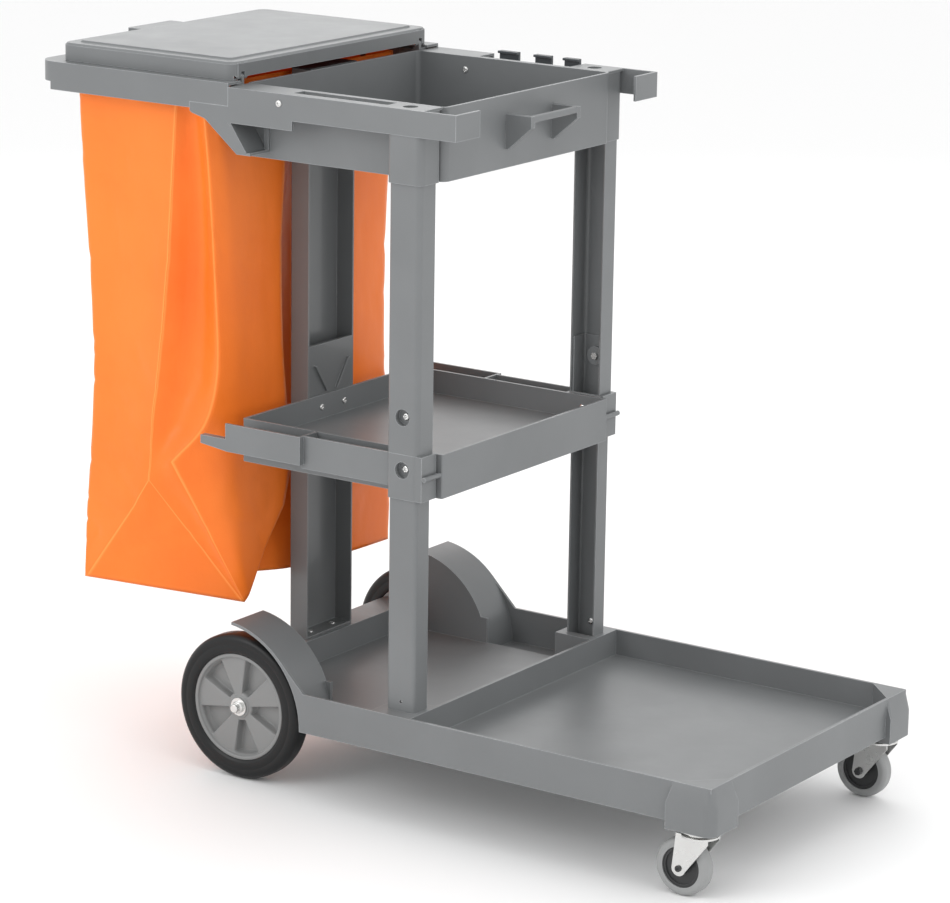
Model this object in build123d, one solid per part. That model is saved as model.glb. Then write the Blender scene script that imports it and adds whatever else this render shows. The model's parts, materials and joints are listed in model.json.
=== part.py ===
from build123d import *
import os
from math import cos, radians, sin

# ---------------------------------------------------------------- overall sizes
# Lengths run along X from the rear wheel axle (x = 0) towards the open platform.
REAR_X = -330.0            # back of the bag rail
FRONT_WALL_X = 766.2       # outer face of the platform's front wall
BASE_HALF_W = 253.5        # outer face of the base side walls
TRAY_Z = 951.0             # top of the tub rim and of the ledges beside it
WHEEL_R = 101.6            # rear wheel over its tyre
WALL = 4.0                 # moulded wall of the base
SHELL = 3.5                # moulded wall of the tub, shelf and rails

# ---------------------------------------------------------------- base moulding
BASE_BOTTOM_Z = WHEEL_R - 1.6
RIM_Z = BASE_BOTTOM_Z + 53.6             # top of every base rim
DECK_Z = BASE_BOTTOM_Z + 17.0            # upper face of both floors
POCKET_Z = BASE_BOTTOM_Z + WALL          # floor of the side pockets
WELL_OUT_Y = BASE_HALF_W - 65.5          # wheel-side face of the wheel well wall
FENDER_R = WHEEL_R + 29.9
FENDER_LIP_DEG = 84.0
FENDER_BLEND_DEG = 45.0
AXLE_R = 6.0
AXLE_BOSS_R = 3 * AXLE_R
SADDLE_Y = 62.0
SADDLE_DROP = 16.0
RIB_T = 3.0
RIB_YS = (-150.0, -50.0, 50.0, 150.0)

# ---------------------------------------------------------------- front corner blocks
BLOCK_FRONT_X = FRONT_WALL_X + 7.7
BLOCK_REAR_X = BLOCK_FRONT_X - 68.9
BLOCK_OUT_Y = BASE_HALF_W + 7.7
BLOCK_IN_Y = BLOCK_OUT_Y - 63.0
BLOCK_BOTTOM_Z = BASE_BOTTOM_Z - 8.4
BLOCK_SHOULDER_Z = BLOCK_BOTTOM_Z + 34.9
BLOCK_CORNER_R = 15.0
BLOCK_TOP_R = 3.75
BLOCK_FILL = 44.0          # leg of the filled inner corner
FRAME_CENTRE_X = (REAR_X + BLOCK_FRONT_X) / 2

# ---------------------------------------------------------------- posts
POST_REAR_X = 252.0
POST_FRONT_X = POST_REAR_X + 50.0
POST_OUT_Y = BASE_HALF_W - 19.5
POST_IN_Y = POST_OUT_Y - 34.0
POST_R = 8.0
POST_WALL = 2.4
POST_FIT = 0.2             # gap between nested post sections
SOCKET_REAR_X = POST_REAR_X - 7.0
SOCKET_FLOOR_T = 4.0
CROSS_RIB_X = POST_FRONT_X + 1.0

# ---------------------------------------------------------------- rear column
COL_REAR_X = -40.5
COL_FRONT_X = COL_REAR_X + 30.0
COL_HALF_W = 52.0
COL_T = 3.0
CAP_T = 1.5
LEDGE_REAR_X = COL_REAR_X - 8.5
LEDGE_FRONT_X = COL_FRONT_X + 6.5

# ---------------------------------------------------------------- middle shelf
SHELF_TOP_Z = 499.3
SHELF_BOTTOM_Z = SHELF_TOP_Z - 59.2
SHELF_FLOOR_Z = SHELF_TOP_Z - 33.3
SHELF_REAR_X = COL_FRONT_X + 0.5
SHELF_FRONT_X = POST_FRONT_X + 13.8
SHELF_HALF_W = POST_IN_Y - 2.5
SHELF_CORNER_R = 2.0
RAIL_Y = POST_OUT_Y - 7.0
RAIL_BOTTOM_Z = SHELF_BOTTOM_Z + 14.9
PLATE_Y = POST_OUT_Y + 2.0
PLATE_FRONT_X = 114.0
PLATE_BOTTOM_Z = SHELF_BOTTOM_Z + 20.9
STUB_REAR_X = SHELF_REAR_X - 42.0
STUB_W = 10.0
STUB_Z = (PLATE_BOTTOM_Z + 2.0, PLATE_BOTTOM_Z + 17.0)
FLANGE_FRONT_X = POST_FRONT_X + 6.0
SHELF_PIN_R = 3.5
SHELF_PIN_Z = SHELF_BOTTOM_Z + 31.9

# ---------------------------------------------------------------- post sleeve, spigot and bolts
SLEEVE_BOTTOM_Z = SHELF_BOTTOM_Z + 0.9
SLEEVE_TOP_Z = SHELF_TOP_Z + 1.7
SPIGOT_TOP_Z = SLEEVE_TOP_Z + 77.0
POST_HOLE_R = 11.0
POST_HOLE_X = (POST_REAR_X + POST_FRONT_X) / 2 + 0.8
POST_HOLE_ZS = (SHELF_TOP_Z - 19.3, SHELF_TOP_Z + 50.7)
CUP_DEPTH = 6.0
CUP_WALL = 2.0
BOLT_R = 2.6
BOLT_HEAD_R = 5.2
BOLT_HEAD_T = 2.6

# ---------------------------------------------------------------- hook plate in the column
HOOK_PLATE_T = 2.0
HOOK_PLATE_Z = (SHELF_TOP_Z - 44.3, SHELF_TOP_Z + 70.7)
RIB_TOP = (38.0, SHELF_TOP_Z + 42.7)
RIB_FOOT = (11.0, SHELF_TOP_Z + 3.7)
RIB_W = 4.0

# ---------------------------------------------------------------- top tray
TUB_REAR_X = COL_FRONT_X + 2.5
TUB_FRONT_X = POST_FRONT_X + 9.8
TUB_HALF_W = POST_IN_Y - 5.5
TUB_BOTTOM_Z = TRAY_Z - 96.0
TUB_CORNER_R = 10.0
SKIRT_Y = POST_OUT_Y + 4.0
SEAM_X = TUB_REAR_X + 4.8
SKIRT_BOTTOM_Z = TRAY_Z - 34.0
SKIRT_STEP_X = 101.0
SKIRT_STEP_Z = SKIRT_BOTTOM_Z - 12.8
LEDGE_END_X = POST_FRONT_X + 4.0
ARM_FRONT_X = TUB_FRONT_X + 46.2
ARM_IN_Y = TUB_HALF_W - 10.3
COLLAR_GROW = 2.7
COLLAR_BOTTOM_Z = TUB_BOTTOM_Z - 0.5
LAP_REAR_X = SEAM_X - 63.6
LAP_Z = SKIRT_BOTTOM_Z + 9.0
LAP_TAIL_Z = SKIRT_BOTTOM_Z - 3.0
LAP_NOSE = (3.4, 2.4)      # bevel of the skirt's rear lower corner
BRACKET_TOP = (LAP_REAR_X + 25.1, SKIRT_BOTTOM_Z - 11.1)
BRACKET_FOOT_X = (11.1, 29.5)
BRACKET_FOOT_Z = TUB_BOTTOM_Z + 8.9
SLOT_X = (92.0, POST_REAR_X - 10.0)
SLOT_Y = (TUB_HALF_W + 6.5, TUB_HALF_W + 27.5)
TOOL_HOLE_X = POST_HOLE_X - 5.8
TOOL_HOLE_Y = SKIRT_Y - 23.0
TOOL_HOLE_R = 10.0
RACK_DROP_Z = TRAY_Z - 10.0
CLIP_SPANS = ((104.0, 136.0), (163.0, 190.0), (211.0, 236.0))
CLIP_TOP_Z = TRAY_Z + 6.0
CLIP_T = 5.0

# ---------------------------------------------------------------- pull handle
HANDLE_OUT_Y = 58.0
HANDLE_CHEEK_T = 8.0
HANDLE_TIP_X = TUB_FRONT_X + 40.2
HANDLE_TOP_Z = TRAY_Z - 25.0
HANDLE_TIP_Z = HANDLE_TOP_Z - 15.0
HANDLE_FOOT_Z = HANDLE_TOP_Z - 46.0
HANDLE_BAR = 9.0

# ---------------------------------------------------------------- bag rail
RAIL_TOP_Z = TRAY_Z + 5.2
RAIL_SIDE_Z = RAIL_TOP_Z - 38.2
RAIL_REAR_Z = RAIL_TOP_Z - 27.2
RAIL_STEP_X = REAR_X + 24.0
RAIL_CORNER_R = 28.0
MOUTH_REAR_X = REAR_X + 42.0
MOUTH_FRONT_X = COL_REAR_X - 9.5
MOUTH_HALF_W = SKIRT_Y - 27.0
MOUTH_CORNER_R = 14.0
MOUTH_LIP = 3.0
MOUTH_LIP_Z = RAIL_TOP_Z - 28.2
CROSSBAR_T = 6.0
CROSSBAR_Z = (RAIL_SIDE_Z + 1.0, RAIL_SIDE_Z + 13.0)
TONGUE_FRONT_X = 96.0
TONGUE_T = 4.0
TONGUE_Z = (LAP_Z + 2.0, LAP_Z + 19.0)

# ---------------------------------------------------------------- lid and its hinge
LID_BOTTOM_Z = RAIL_TOP_Z + 0.3
LID_TOP_Z = LID_BOTTOM_Z + 26.5
HINGE_X = TUB_REAR_X - 3.0
HINGE_Z = LID_BOTTOM_Z + 3.5
LID_REAR_X = REAR_X + 28.8
LID_FRONT_X = HINGE_X + 3.7
LID_HALF_W = SKIRT_Y - 16.4
LID_WALL = 3.0
LID_CORNER_R = 16.0
LID_BEVEL = 3.0
LID_BAND = 17.0            # flat band round the raised panel
LID_CROWN = 2.5
CROWN_BEVEL = 2.4
CROWN_R = 7.0
TAB_REAR_X = REAR_X + 1.0
TAB_HALF_W = 47.0
TAB_Z = (LID_TOP_Z - 10.0, LID_TOP_Z - 4.0)
HINGE_PIN_R = 2.0
HINGE_RUN = 0.08
HINGE_EAR_R = 3.5
EAR_Y = (MOUTH_HALF_W - 13.0, MOUTH_HALF_W - 8.0)
LUG_W = 6.0
LUG_GAP = 1.2

# ---------------------------------------------------------------- vinyl bag
BAG_TOP_Z = RAIL_TOP_Z - 11.2
BAG_BOTTOM_Z = BAG_TOP_Z - 709.0
BAG_GAP = 4.0              # bag outside to the rail mouth
BAG_T = 2.0
BAG_TAPER = 8.0
BAG_CORNER_R = 12.0
PEG_R = 3.0
PEG_HEAD_R = 6.0
PEG_HEAD_T = 2.0
PEG_Z = BAG_TOP_Z - 8.0
PEG_CLEAR = 0.4
PEG_XS = (MOUTH_REAR_X + 59.0, MOUTH_FRONT_X - 59.0)
PEG_YS = (-88.0, 88.0)

# ---------------------------------------------------------------- rear wheels and axle
TYRE_IN_Y = WELL_OUT_Y + 4.0
TYRE_OUT_Y = TYRE_IN_Y + 32.0
TYRE_SHOULDER_R = 9.0
TYRE_LIP = 4.0             # step of the tyre side above the rim
RIM_R = WHEEL_R - 27.0
RIM_WALL = 6.0
RIM_FACE_Y = TYRE_OUT_Y - 2.3
HUB_BOSS_R = 16.0
HUB_IN_Y = TYRE_IN_Y - 1.5
HUB_OUT_Y = TYRE_OUT_Y - 5.0
HUB_DISC_IN_Y = HUB_IN_Y + 9.5
HUB_DISC_OUT_Y = HUB_DISC_IN_Y + 9.0
SPOKE_FACE_Y = HUB_OUT_Y - 1.5
SPOKE_COUNT = 5
SPOKE_SPAN_DEG = 36.0
SPOKE_PHASE_DEG = 28.0
AXLE_END_Y = HUB_OUT_Y + 13.0
AXLE_RUN = 0.06            # running clearance round the axle
WASHER_R = 12.5
WASHER_T = 2.0
PUSH_NUT_R = 8.5
PUSH_NUT_T = 4.0
PUSH_NUT_BEVEL = 1.5
SIDE_PLAY = 0.2

# ---------------------------------------------------------------- casters
CASTER_X = BLOCK_FRONT_X - 54.9
CASTER_Y = BLOCK_OUT_Y - 28.7
CASTER_ROOM = 15.6         # under the corner block, above the caster's tread
CASTER_R = (BLOCK_BOTTOM_Z - CASTER_ROOM) / 2
CASTER_TRAIL = 22.0
CASTER_CORE_R = CASTER_R - 11.0
TREAD_W = 22.0
TREAD_ROUND_R = 6.6
CORE_W = 18.0
CORE_HUB_W = 26.0
CORE_HUB_R = 10.0
CORE_DISH = 4.0
SEAT_R = 26.0
SEAT_T = 2.5
STEM_R = 5.0
STEM_TOP_Z = BLOCK_BOTTOM_Z + 18.4
STEM_RUN = 0.08
RACE_R = 21.0
RACE_T = 4.0
RACE_BEVEL = 1.2
FORK_PLATE_T = 2.5
FORK_HALF_GAP = 13.6
FORK_LEG_T = 2.2
FORK_FOOT_R = 10.0
FORK_FOOT_DEG = 21.0       # where the leg's front edge leaves the round foot
FORK_NOSE_X = 41.0
FORK_APRON = 6.0           # straight part of the leg below the plate
RIVET_R = 8.0
RIVET_T = 3.0
CASTER_BOLT_R = 3.0
CASTER_BOLT_RUN = 0.08
CASTER_BOLT_TAIL = 5.0
CASTER_HEAD_R = 4.2
CASTER_HEAD_T = 2.2
CASTER_NUT_R = 5.2
CASTER_GAP = 0.3

# ---------------------------------------------------------------- small screws
SCREW_R = 2.2
SCREW_HEAD_R = 4.6
SCREW_HEAD_T = 2.0
LAP_SCREW = (80.0, TRAY_Z - 13.0)
TUB_SCREW = (76.0, TRAY_Z - 19.0)
SHELF_SCREW_Z = SHELF_TOP_Z - 17.3
FOOT_SCREW_Z = RIM_Z + 12.4


# ---------------------------------------------------------------- helpers
def block(x0, x1, y0, y1, z0, z1):
    """Box between two corners."""
    centre = ((x0 + x1) / 2, (y0 + y1) / 2, (z0 + z1) / 2)
    return Pos(*centre) * Box(abs(x1 - x0), abs(y1 - y0), abs(z1 - z0))


def side_plate(points, y0, y1):
    """Plate with an outline in X and Z, between two Y values."""
    outline = Polyline(*[(x, y0, z) for x, z in points], close=True)
    return extrude(make_face(outline), amount=y1 - y0, dir=(0, 1, 0))


def end_plate(points, x0, x1):
    """Plate with an outline in Y and Z, between two X values."""
    outline = Polyline(*[(x0, y, z) for y, z in points], close=True)
    return extrude(make_face(outline), amount=x1 - x0, dir=(1, 0, 0))


def rod_y(x, z, r, y0, y1):
    """Round bar along Y."""
    return Pos(x, (y0 + y1) / 2, z) * Rot(90, 0, 0) * Cylinder(r, abs(y1 - y0))


def rod_x(y, z, r, x0, x1):
    """Round bar along X."""
    return Pos((x0 + x1) / 2, y, z) * Rot(0, 90, 0) * Cylinder(r, abs(x1 - x0))


def rod_z(x, y, r, z0, z1):
    """Round bar along Z."""
    return Pos(x, y, (z0 + z1) / 2) * Cylinder(r, abs(z1 - z0))


def rounded_block(x0, x1, y0, y1, z0, z1, r):
    """Box with rounded upright corners."""
    solid = block(x0, x1, y0, y1, z0, z1)
    return fillet(solid.edges().filter_by(Axis.Z), r)


def left_of(right_piece):
    """The left hand twin of a right hand piece."""
    return mirror(right_piece, about=Plane.XZ)


def both(right_piece):
    """A right hand piece and its left hand twin."""
    return [right_piece, left_of(right_piece)]


# ---------------------------------------------------------------- posts
def post_outline(grow, z0, z1):
    """Outer body of a right hand post section, grown or shrunk all round."""
    x0 = POST_REAR_X - grow
    x1 = POST_FRONT_X + grow
    y0 = -POST_OUT_Y - grow
    y1 = -POST_IN_Y + grow
    solid = block(x0, x1, y0, y1, z0, z1)
    outer = solid.edges().filter_by(Axis.Z).sort_by(Axis.Y)[:2]
    return fillet(outer, POST_R + grow)


def channel_post(grow, z0, z1):
    """Post section: a channel open towards the middle of the cart."""
    body = post_outline(grow, z0, z1)
    core = post_outline(grow - POST_WALL, z0, z1)
    x0 = POST_REAR_X - grow + POST_WALL
    x1 = POST_FRONT_X + grow - POST_WALL
    mouth = block(x0, x1, -POST_IN_Y - POST_R, -POST_IN_Y + POST_R, z0, z1)
    return body - core - mouth


def lower_post():
    shrink = -(POST_WALL + POST_FIT)
    post = channel_post(shrink, POCKET_Z + SOCKET_FLOOR_T, SPIGOT_TOP_Z)
    face_y = -POST_OUT_Y - shrink
    inner_y = face_y + CUP_DEPTH
    for z in POST_HOLE_ZS:
        post += rod_y(POST_HOLE_X, z, POST_HOLE_R + CUP_WALL, face_y + 1.0, inner_y + CUP_WALL)
    for z in POST_HOLE_ZS:
        post -= rod_y(POST_HOLE_X, z, POST_HOLE_R, face_y - 1.0, inner_y)
        post -= rod_y(POST_HOLE_X, z, BOLT_R, inner_y - 1.0, inner_y + 2 * CUP_WALL)
    hole_y = face_y + POST_WALL / 2
    post -= rod_y(POST_HOLE_X, FOOT_SCREW_Z, SCREW_R, hole_y - POST_WALL, hole_y + POST_WALL)
    return post


def upper_post():
    post = channel_post(0.0, SLEEVE_TOP_Z, TRAY_Z - SHELL)
    hole = rod_y(POST_HOLE_X, POST_HOLE_ZS[1], POST_HOLE_R, -POST_OUT_Y - 1.0, -POST_OUT_Y + 2 * POST_WALL)
    return post - hole


def post_bolts():
    bolts = []
    seat_y = -POST_OUT_Y + POST_WALL + POST_FIT + CUP_DEPTH
    for z in POST_HOLE_ZS:
        head = rod_y(POST_HOLE_X, z, BOLT_HEAD_R, seat_y - BOLT_HEAD_T, seat_y)
        head = chamfer(head.edges().sort_by(Axis.Y)[0], BOLT_HEAD_T / 4)
        shank = rod_y(POST_HOLE_X, z, BOLT_R, seat_y - 1.0, seat_y + CUP_WALL)
        bolts += both(head + shank)
    return bolts


def post_nuts():
    nuts = []
    seat_y = -POST_OUT_Y + POST_WALL + POST_FIT + CUP_DEPTH + CUP_WALL
    flat = BOLT_HEAD_R
    for z in POST_HOLE_ZS:
        nut = Pos(POST_HOLE_X, seat_y + flat / 3, z) * Rot(90, 0, 0)
        nut = nut * extrude(RegularPolygon(flat, 6), amount=flat / 3, both=True)
        nuts += both(nut)
    return nuts


def foot_screws():
    inner_y = -POST_OUT_Y + 2 * POST_WALL + POST_FIT
    head = rod_y(POST_HOLE_X, FOOT_SCREW_Z, SCREW_HEAD_R, inner_y, inner_y + SCREW_HEAD_T)
    shank = rod_y(POST_HOLE_X, FOOT_SCREW_Z, SCREW_R, inner_y - POST_WALL, inner_y + 1.0)
    return both(head + shank)


# ---------------------------------------------------------------- base moulding
def wheel_well():
    """Right hand wheel well: inner wall, curved fender and its edge strip."""
    y_in = -WELL_OUT_Y + WALL
    outer = FENDER_R
    inner = FENDER_R - WALL
    lip_x = outer * cos(radians(FENDER_LIP_DEG))
    disc = rod_y(0, WHEEL_R, outer, -WELL_OUT_Y, y_in)
    quarter = block(lip_x, outer + WALL, -WELL_OUT_Y, y_in, BASE_BOTTOM_Z, WHEEL_R + outer)
    wall = disc & quarter
    wall += block(LEDGE_REAR_X, outer, -WELL_OUT_Y, y_in, BASE_BOTTOM_Z, RIM_Z)
    wall += rod_y(0, WHEEL_R, AXLE_BOSS_R, -WELL_OUT_Y, y_in)
    band = rod_y(0, WHEEL_R, outer, -BASE_HALF_W, y_in) - rod_y(0, WHEEL_R, inner, -BASE_HALF_W, y_in)
    wedge_far = 2 * outer
    lip = radians(FENDER_LIP_DEG)
    wedge = side_plate(
        [(0, WHEEL_R), (wedge_far, WHEEL_R), (wedge_far * cos(lip), WHEEL_R + wedge_far * sin(lip))],
        -BASE_HALF_W, y_in)
    well = wall + (band & wedge)
    bend = radians(FENDER_BLEND_DEG)
    bend_x = outer * cos(bend)
    bend_z = WHEEL_R + outer * sin(bend)
    cheek_x = bend_x + (bend_z - RIM_Z)
    cheek = side_plate(
        [(bend_x, bend_z), (cheek_x, RIM_Z), (cheek_x, BASE_BOTTOM_Z), (inner, BASE_BOTTOM_Z),
         (inner, WHEEL_R), (bend_x - 2 * WALL, bend_z - 2 * WALL)],
        -BASE_HALF_W, -BASE_HALF_W + WALL)
    cheek -= rod_y(0, WHEEL_R, inner, -BASE_HALF_W - WALL, -BASE_HALF_W + 2 * WALL)
    return well + cheek


def corner_block():
    """Right hand front corner: shouldered block that carries a caster."""
    lower = block(BLOCK_REAR_X, BLOCK_FRONT_X, -BLOCK_OUT_Y, -BLOCK_IN_Y, BLOCK_BOTTOM_Z, BLOCK_SHOULDER_Z)
    nose = lower.edges().filter_by(Axis.Z).filter_by(lambda e: e.center().X > BLOCK_FRONT_X - 1.0)
    lower = fillet(nose.sort_by(Axis.Y)[0], BLOCK_CORNER_R)
    foot = lower.faces().sort_by(Axis.Z)[-1]
    top = rounded_block(BLOCK_REAR_X + WALL, FRONT_WALL_X, -BASE_HALF_W, -BLOCK_IN_Y - WALL,
                        RIM_Z - 1.0, RIM_Z, BLOCK_TOP_R)
    shoulder = loft([foot, top.faces().sort_by(Axis.Z)[-1]])
    tri = Polyline((FRONT_WALL_X - WALL - BLOCK_FILL, -BASE_HALF_W + WALL, DECK_Z),
                   (FRONT_WALL_X - WALL, -BASE_HALF_W + WALL, DECK_Z),
                   (FRONT_WALL_X - WALL, -BASE_HALF_W + WALL + BLOCK_FILL, DECK_Z), close=True)
    fill = extrude(make_face(tri), amount=RIM_Z - DECK_Z, dir=(0, 0, 1))
    hollow = block(BLOCK_REAR_X - 1.0, FRONT_WALL_X - WALL, -BASE_HALF_W + WALL, -BLOCK_IN_Y + 1.0,
                   DECK_Z, RIM_Z + 1.0)
    return (lower + shoulder - hollow) + fill


def base():
    floor_z = DECK_Z - WALL
    inner_w = BASE_HALF_W
    body = block(CROSS_RIB_X, FRONT_WALL_X, -inner_w, inner_w, floor_z, DECK_Z)
    body += block(LEDGE_FRONT_X - WALL, CROSS_RIB_X + WALL, -WELL_OUT_Y, WELL_OUT_Y, floor_z, DECK_Z)
    body += block(CROSS_RIB_X, CROSS_RIB_X + WALL, -inner_w, inner_w, BASE_BOTTOM_Z, RIM_Z)
    body += block(FRONT_WALL_X - WALL, FRONT_WALL_X, -inner_w, inner_w, BASE_BOTTOM_Z, RIM_Z)
    body += block(LEDGE_REAR_X, LEDGE_FRONT_X, -WELL_OUT_Y, WELL_OUT_Y, RIM_Z - WALL, RIM_Z)
    body += block(LEDGE_FRONT_X - WALL, LEDGE_FRONT_X, -WELL_OUT_Y, WELL_OUT_Y, floor_z, RIM_Z)
    body += block(LEDGE_REAR_X, LEDGE_REAR_X + WALL, -WELL_OUT_Y, WELL_OUT_Y, BASE_BOTTOM_Z, RIM_Z)
    for y in RIB_YS:
        body += block(CROSS_RIB_X, FRONT_WALL_X - 1.0, y, y + RIB_T, BASE_BOTTOM_Z, floor_z + 1.0)
    side = block(FENDER_R, FRONT_WALL_X, -inner_w, -inner_w + WALL, BASE_BOTTOM_Z, RIM_Z)
    side += block(FENDER_R - WALL, CROSS_RIB_X + 1.0, -inner_w, -WELL_OUT_Y, BASE_BOTTOM_Z, POCKET_Z)
    side += block(FENDER_R - WALL, CROSS_RIB_X + 1.0, -WELL_OUT_Y, -WELL_OUT_Y + WALL, BASE_BOTTOM_Z, DECK_Z)
    side += wheel_well()
    side += block(SOCKET_REAR_X, CROSS_RIB_X + 1.0, -inner_w + 1.0, -WELL_OUT_Y, BASE_BOTTOM_Z, RIM_Z)
    side += corner_block()
    side += block(LEDGE_REAR_X + 1.0, AXLE_BOSS_R, -SADDLE_Y - RIB_T, -SADDLE_Y,
                  WHEEL_R - SADDLE_DROP, floor_z + 1.0)
    side -= post_outline(-POST_WALL, POCKET_Z + SOCKET_FLOOR_T, RIM_Z + 1.0)
    stem_x = CASTER_X + CASTER_TRAIL
    side -= rod_z(stem_x, -CASTER_Y, STEM_R, BLOCK_BOTTOM_Z - 1.0, STEM_TOP_Z)
    body += side
    body += left_of(side)
    body -= rod_y(0, WHEEL_R, AXLE_R, -BASE_HALF_W, BASE_HALF_W)
    return body


# ---------------------------------------------------------------- rear column
def column():
    inner_x = COL_REAR_X + COL_T
    inner_y = COL_HALF_W - COL_T
    body = rounded_block(COL_REAR_X, COL_FRONT_X + COL_T, -COL_HALF_W, COL_HALF_W, RIM_Z, TRAY_Z, COL_T / 2)
    body -= block(inner_x, COL_FRONT_X + 2 * COL_T, -inner_y, inner_y, RIM_Z + COL_T, TRAY_Z + 1.0)
    body -= block(COL_FRONT_X, COL_FRONT_X + 2 * COL_T, -COL_HALF_W - 1.0, COL_HALF_W + 1.0,
                  RIM_Z - 1.0, TRAY_Z + 1.0)
    return body


def column_hook_plate():
    """Plate across the column mouth with two ribs that lean into a V."""
    inner_y = COL_HALF_W - COL_T
    z0, z1 = HOOK_PLATE_Z
    x0 = COL_FRONT_X - HOOK_PLATE_T
    plate = block(x0, COL_FRONT_X, -inner_y, inner_y, z0, z1)
    for sign in (-1, 1):
        top_y = sign * RIB_TOP[0]
        foot_y = sign * RIB_FOOT[0]
        plate += end_plate(
            [(top_y - RIB_W / 2, RIB_TOP[1]), (top_y + RIB_W / 2, RIB_TOP[1]),
             (foot_y + RIB_W / 2, RIB_FOOT[1]), (foot_y - RIB_W / 2, RIB_FOOT[1])],
            COL_FRONT_X - 1.0, COL_FRONT_X + RIB_W)
    plate += block(x0 - RIB_W, COL_FRONT_X, -inner_y, inner_y, z1 - HOOK_PLATE_T, z1)
    return plate


def column_cap():
    """Dark bracket that joins the column head to the back of the tub."""
    cap_z = TRAY_Z + CAP_T
    plate = block(COL_FRONT_X, TUB_REAR_X, -COL_HALF_W, COL_HALF_W, BRACKET_FOOT_Z, cap_z)
    return plate + block(COL_REAR_X, TUB_REAR_X, -COL_HALF_W, COL_HALF_W, TRAY_Z, cap_z)


def column_screws():
    """Screws that hold the column foot to the base ledge."""
    x = (COL_REAR_X + COL_FRONT_X) / 2
    z = RIM_Z + COL_T
    head = rod_z(x, -COL_HALF_W / 2, SCREW_HEAD_R, z, z + SCREW_HEAD_T)
    return both(head)


# ---------------------------------------------------------------- middle shelf
def mid_shelf():
    w = SHELF_HALF_W
    body = rounded_block(SHELF_REAR_X, SHELF_FRONT_X, -w, w, SHELF_BOTTOM_Z, SHELF_TOP_Z, SHELF_CORNER_R)
    body -= block(SHELF_REAR_X + SHELL, SHELF_FRONT_X - SHELL, -w + SHELL, w - SHELL,
                  SHELF_FLOOR_Z, SHELF_TOP_Z + 1.0)
    body -= block(SHELF_REAR_X + SHELL, SHELF_FRONT_X - SHELL, -w + SHELL, w - SHELL,
                  SHELF_BOTTOM_Z - 1.0, SHELF_FLOOR_Z - SHELL)
    rail = block(PLATE_FRONT_X - SHELL, POST_REAR_X + 1.0, -RAIL_Y, -RAIL_Y + SHELL,
                 RAIL_BOTTOM_Z, SHELF_TOP_Z)
    rail += block(PLATE_FRONT_X - SHELL, POST_REAR_X + 1.0, -RAIL_Y, -w + 1.0,
                  RAIL_BOTTOM_Z, RAIL_BOTTOM_Z + SHELL)
    plate = block(SHELF_REAR_X, PLATE_FRONT_X, -PLATE_Y, -PLATE_Y + SHELL, PLATE_BOTTOM_Z, SHELF_TOP_Z)
    plate += block(SHELF_REAR_X, PLATE_FRONT_X, -PLATE_Y, -w + 1.0, PLATE_BOTTOM_Z, PLATE_BOTTOM_Z + SHELL)
    plate += block(PLATE_FRONT_X - SHELL, PLATE_FRONT_X, -PLATE_Y, -w + 1.0, PLATE_BOTTOM_Z, SHELF_TOP_Z)
    stub = side_plate(
        [(STUB_REAR_X, STUB_Z[0] + SHELL), (SHELF_REAR_X + SHELL, PLATE_BOTTOM_Z),
         (SHELF_REAR_X + SHELL, STUB_Z[1]), (STUB_REAR_X, STUB_Z[1])],
        -PLATE_Y, -PLATE_Y + STUB_W)
    sleeve = post_outline(0.0, SLEEVE_BOTTOM_Z, SLEEVE_TOP_Z)
    sleeve += block(POST_FRONT_X - POST_R, FLANGE_FRONT_X, -POST_OUT_Y + 1.0, -POST_IN_Y,
                    SLEEVE_BOTTOM_Z, SLEEVE_TOP_Z)
    sleeve += block(POST_REAR_X, POST_FRONT_X, -POST_IN_Y - 1.0, -w + 1.0, SLEEVE_BOTTOM_Z, SHELF_TOP_Z)
    sleeve += block(POST_REAR_X - SHELL, POST_REAR_X + SHELL, -POST_OUT_Y + POST_R, -w,
                    RAIL_BOTTOM_Z, SHELF_TOP_Z)
    side = sleeve + rail + plate + stub
    side -= post_outline(-POST_WALL, SLEEVE_BOTTOM_Z - 1.0, SLEEVE_TOP_Z + 1.0)
    side -= rod_y(POST_HOLE_X, POST_HOLE_ZS[0], POST_HOLE_R, -POST_OUT_Y - 1.0, -POST_OUT_Y + 2 * POST_WALL)
    body += side
    body += left_of(side)
    for sign in (-1, 1):
        body -= rod_x(sign * COL_HALF_W / 2, SHELF_SCREW_Z, SCREW_R,
                      SHELF_REAR_X - 1.0, SHELF_REAR_X + 2 * SHELL)
    return body


def shelf_pins():
    """Round pins across the gap between post sleeve and shelf front."""
    x = FLANGE_FRONT_X + SHELF_PIN_R
    return both(rod_y(x, SHELF_PIN_Z, SHELF_PIN_R, -POST_OUT_Y + 1.0, -SHELF_HALF_W))


def shelf_screws():
    screws = []
    for sign in (-1, 1):
        y = sign * COL_HALF_W / 2
        x = SHELF_REAR_X + SHELL
        head = rod_x(y, SHELF_SCREW_Z, SCREW_HEAD_R, x, x + SCREW_HEAD_T)
        shank = rod_x(y, SHELF_SCREW_Z, SCREW_R, SHELF_REAR_X + COL_T / 10, x + 1.0)
        screws.append(head + shank)
    y = -SHELF_HALF_W + SHELL
    head = rod_y(POST_HOLE_X, SHELF_SCREW_Z, SCREW_HEAD_R, y, y + SCREW_HEAD_T)
    screws += both(head)
    return screws


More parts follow.
